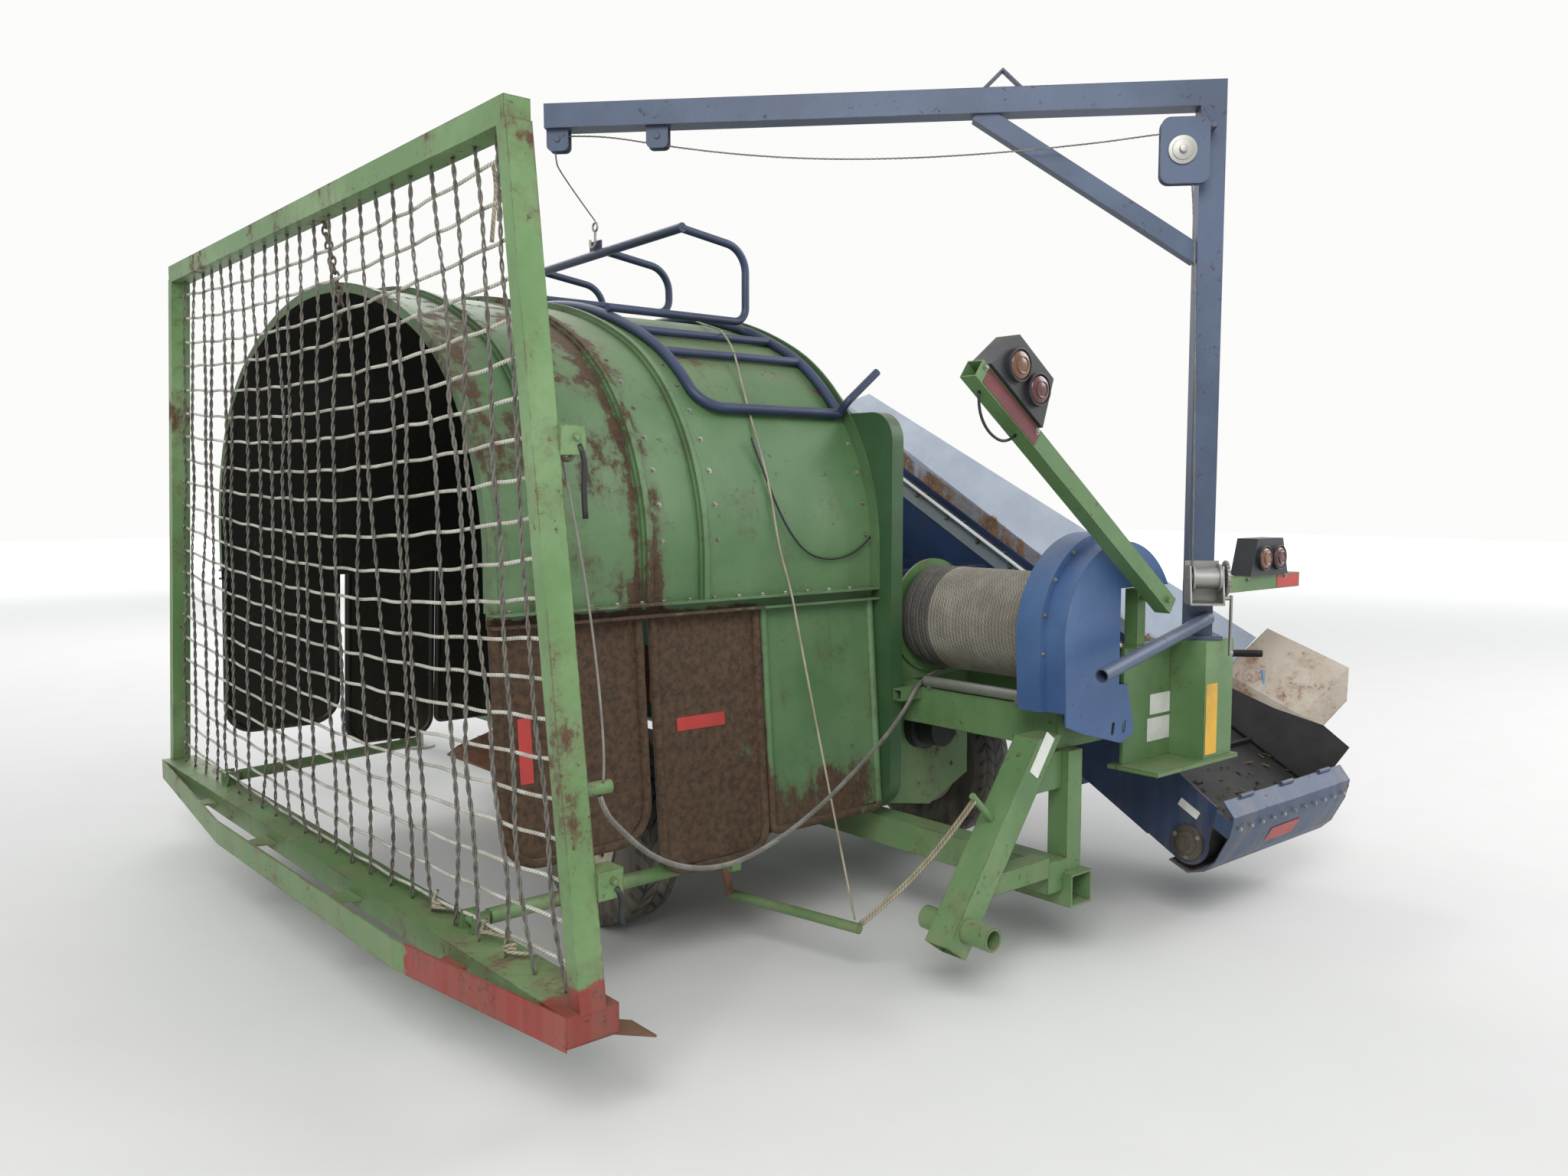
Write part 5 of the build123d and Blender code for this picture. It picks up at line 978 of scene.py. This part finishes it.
# The tunnel's section: a wide crown between two shoulders, each an arc with its radius and its centre's height.
arch = {
    "half": 460, "shoulder": 850, "shoulderHeight": 1420, "crown": 1866.8, "crownHeight": 513.2, "join": 0.4524,
}
seamSpots = []
for side in (-1, 1):
    for x in list(range(60, 540, 95)) + list(range(620, 1560, 105)):
        seamSpots.append(at(x, side * 1340, 1280))
bolts("seam_bolts", seamSpots, (0, 0, 1), 0.008, 0.007)
bolts("strip_bolts", [upBelt(2395.4, 620 + i * 205, 455) for i in range(11)], (-1, 0, 0), 0.009, 0.008)

guardSpots = []
for degrees in (100, 122, 144, 166, 188, 205, 60, 80):
    turn = math.radians(degrees)
    x, z = drum["centre"]
    guardSpots.append(at(x + 336 * math.cos(turn), -2119.2, z + 336 * math.sin(turn)))
bolts("guard_bolts", guardSpots, nearward, 0.006, 0.005)

ribSpots, ribWays = [], []
ribTop = 6
for x in (634, 866, 1566):
    for side in (-1, 1):
        for degrees in range(4, 60, 8):
            turn = math.radians(degrees)
            reach = arch["shoulder"] + ribTop
            ribSpots.append(at(x, side * (arch["half"] + reach * math.cos(turn)),
                               arch["shoulderHeight"] + reach * math.sin(turn)))
            ribWays.append((0, side * math.cos(turn), math.sin(turn)))
    for degrees in range(67, 114, 6):
        turn = math.radians(degrees)
        reach = arch["crown"] + ribTop
        ribSpots.append(at(x, reach * math.cos(turn), arch["crownHeight"] + reach * math.sin(turn)))
        ribWays.append((0, math.cos(turn), math.sin(turn)))
bolts("rib_bolts", ribSpots, ribWays, 0.0065, 0.005, turned=True)
bolts("cover_bolts", [upBelt(2460 + k * 82, -117, 150) for k in range(11)], downBelt, 0.006, 0.005)

print("sheave face and straps")
sheaveWay = alongCrane(0, 1, 0) - alongCrane(0, 0, 0)
discs("sheave_face", ((0.05, 0.007), (0.036, 0.011), (0.013, 0.024)), 0.0015,
      standing(alongCrane(118, 112.2, 2840), sheaveWay), "bareSteel", "crane")
for word, (x, y, z), low in (("upper", (-38, -1868, 1784), 150), ("lower", (-38, -2020, 664), 60)):
    turn = (math.pi / 2, 0, 0.4)
    ring(f"bracket_ring_{word}", at(x, y + 12, z - 24), turn, 0.034, 0.007, (32, 10), "chainSteel")
    strap = [at(x + 10, y - 30, z - 20), at(x + 26, y - 38, z - 46), at(x + 22, y - 30, z - 60 - low / 2),
             at(x + 24, y - 36, z - 60 - low)]
    softLine(f"bracket_strap_{word}", strap, 0.016, "blackLead")
random.seed(5)
for word, y, foot in (("a", -1500, 370), ("b", -1180, 372), ("c", -1640, 371)):
    spots, turn = [at(-112, y, foot + 60)], 0.0
    for k in range(9):
        turn += 1.9
        spots.append(at(-112 + 22 * math.cos(turn), y + 26 * math.sin(turn), foot + 8 + 24 * random.random()))
    spots.append(at(-60, y - 50, foot))
    softLine(f"net_knot_{word}", spots, 0.011, "ropePale")

print("tail of the conveyor")
for word, x, way in (("near", 2399.8, -1), ("far", 3330.2, 1)):
    discs(f"tail_bearing_{word}", ((0.066, 0.014), (0.042, 0.026)), 0.003,
          standing(upBelt(x, 0, 0), (way, 0, 0)), "motorBlack")
    spots = [upBelt(x + way * 14, 54 * math.cos(k * 2.0944), 54 * math.sin(k * 2.0944)) for k in range(3)]
    bolts(f"tail_bearing_bolts_{word}", spots, (way, 0, 0), 0.006, 0.006)
plate("tape_cover", upBelt(2850, -120.6, 60), downBelt, across, 0.22, 0.07, "redTape")
beltWay = upBelt(0, 1, 0) - upBelt(0, 0, 0)
plate("plate_tail", upBelt(2399.6, 62, 112), (-1, 0, 0), beltWay, 0.09, 0.032, "whitePlate", thick=0.0012)
rodPiece("wing_bar", [at(3440, -1923, 847), at(3378, -1976, 695)], 0.008, "blueBar")
legWay = (at(1150, 0, 200) - at(1690, 0, 950)).normalized()
plate("plate_leg", at(1560, -2160.4, 775), nearward, legWay, 0.15, 0.05, "whitePlate", thick=0.0012)

print("chain and small ropes")


def archHeight(y, grow):
    # The height of the tunnel's roof, grown outward, that far from its middle.
    y = abs(y)
    if y <= arch["half"] + (arch["shoulder"] + grow) * arch["join"]:
        return arch["crownHeight"] + math.sqrt((arch["crown"] + grow) ** 2 - y * y)
    return arch["shoulderHeight"] + math.sqrt(max((arch["shoulder"] + grow) ** 2 - (y - arch["half"]) ** 2, 0))


def chain(name, points, long, wire):
    # Links turned by a quarter from one to the next.
    line = evenLine(centreLine(points), long * 0.72)
    bpy.ops.mesh.primitive_torus_add(
        major_radius=long * 0.3, minor_radius=wire, major_segments=16, minor_segments=6
    )
    pattern = bpy.context.object
    pattern.data.transform(Matrix.Diagonal((1.5, 1, 1, 1)))
    pieces = []
    for i, (spot, (tangent, side, other)) in enumerate(zip(line, carried(line))):
        turned = side if i % 2 else other
        matrix = Matrix((tangent, turned.cross(tangent), turned)).transposed().to_4x4()
        pieces.append(copied(pattern, Matrix.Translation(spot) @ matrix))
    bpy.data.objects.remove(pattern)
    finishPiece(joined(name, pieces), finishes["chainSteel"], "frame")


def placed(*points):
    return [at(*p) for p in points]


chain("stop_chain", placed((-82, -329, 2566), (-84, -400, 2400), (-84, -470, 2290), (-84, -432, 2215),
                           (-84, -408, 2150)), 0.042, 0.0042)
tail = placed((-78, -1561, 2520), (-70, -1566, 2465), (-70, -1545, 2400), (-72, -1533, 2320))
softLine("rope_tail", tail, 0.012, "ropePale")
tail = placed((-78, -1572, 2500), (-74, -1584, 2440), (-72, -1575, 2370))
softLine("rope_tail_short", tail, 0.011, "ropePale")
softLine("post_wire", placed((-36, -1826, 1735), (-24, -1895, 1500), (-20, -1962, 1200), (-26, -2004, 960),
                             (-30, -1999, 905)), 0.007, "cableSteel")
overArch = [at(x, y, archHeight(y, ribTop) + lift) for x, y, lift in (
    (1540, -214, 44), (1490, -340, 14), (1420, -520, 14), (1352, -690, 36), (1290, -800, 50), (1235, -930, 48),
    (1180, -1040, 20), (1130, -1150, 14),
)]
overArch += placed((1104, -1246, 1800), (1108, -1305, 1640), (1122, -1330, 1450), (1150, -1368, 1290),
                   (1160, -1386, 1180), (1148, -1530, 745), (1132, -1718, 196))
softLine("tie_rope", overArch, 0.008, "ropePale")
softLine("side_cord", placed((1076, -1236, 1832), (1100, -1292, 1680), (1160, -1324, 1520), (1260, -1330, 1410),
                             (1400, -1330, 1388), (1520, -1330, 1420), (1577, -1330, 1470)), 0.008, "blackLead")
for word, shift in (("a", 0), ("b", 14)):
    rope = placed((1272, -2112 - shift, 664), (1236, -2010 - shift, 500), (1180, -1870 - shift, 320),
                  (1132, -1742 - shift, 190))
    softLine(f"peg_rope_{word}", rope, 0.011, "ropePale")
leadPlaces = ((1175, -31), (1150, -75), (1070, -105), (985, -80), (965, -31))
lead = [onLeftArm(along, 0, up) for along, up in leadPlaces]
softLine("lamp_lead", lead, 0.009, "blackLead", "lamp_left")
rodPiece("lower_arm", placed((1018, -1172, 172), (1129, -1745, 172)), 0.018, "frameGreen")
rodPiece("lower_arm_link", placed((892, -1300, 356), (1018, -1180, 172)), 0.014, "rustyIron")

print("crop remains")
crop = {"bits": 190, "onPan": 130, "panStart": 1080, "panLength": 520, "panLow": 325, "panRise": 145}
random.seed(21)
bpy.ops.mesh.primitive_cube_add(size=1)
bit = bpy.context.object
pieces = []
for i in range(crop["bits"]):
    if i < crop["onPan"]:
        x, y = random.uniform(1085, 1590), random.uniform(-1150, 1150)
        spot = at(x, y, crop["panLow"] + (x - crop["panStart"]) * crop["panRise"] / crop["panLength"] + 12)
    else:
        x, along = random.uniform(2420, 3300), random.uniform(-20, 240)
        spot = upBelt(x, along, 86)
    long = random.uniform(0.012, 0.045)
    turn = Matrix.Rotation(random.uniform(0, 6.28), 4, "Z") @ Matrix.Rotation(random.uniform(-0.5, 0.5), 4, "Y")
    shape = Matrix.Diagonal((long, long * 0.3, long * 0.12, 1))
    pieces.append(copied(bit, Matrix.Translation(spot) @ turn @ shape))
bpy.data.objects.remove(bit)
finishPiece(joined("crop_remains", pieces), finishes["cropBits"], "frame")

print("floor")
glow = {"from": 5.0, "to": 24.0, "strength": 0.8, "colour": (0.93, 0.93, 0.92, 1)}
bpy.ops.mesh.primitive_plane_add(size=80, location=(0, 0, -0.002))
floor = bpy.context.object
floor.name = "floor"
shader = begin("floorPale")
place = add("TexCoord").outputs["Object"]
# Beyond the lamps' light the floor glows as pale as the room, so that no dark band shows at the horizon.
distance = add("VectorMath", {0: place}, operation="LENGTH").outputs["Value"]
feed(shader, {
    "Base Color": blendColour(noise(place, 3, 4, 0.6), tone("#dcdbd7"), tone("#e2e1dd")), "Roughness": 0.9,
    "Emission Color": glow["colour"],
    "Emission Strength": fade(distance, glow["from"], glow["to"], 0.0, glow["strength"]),
})
floor.data.materials.append(finishes["floorPale"])
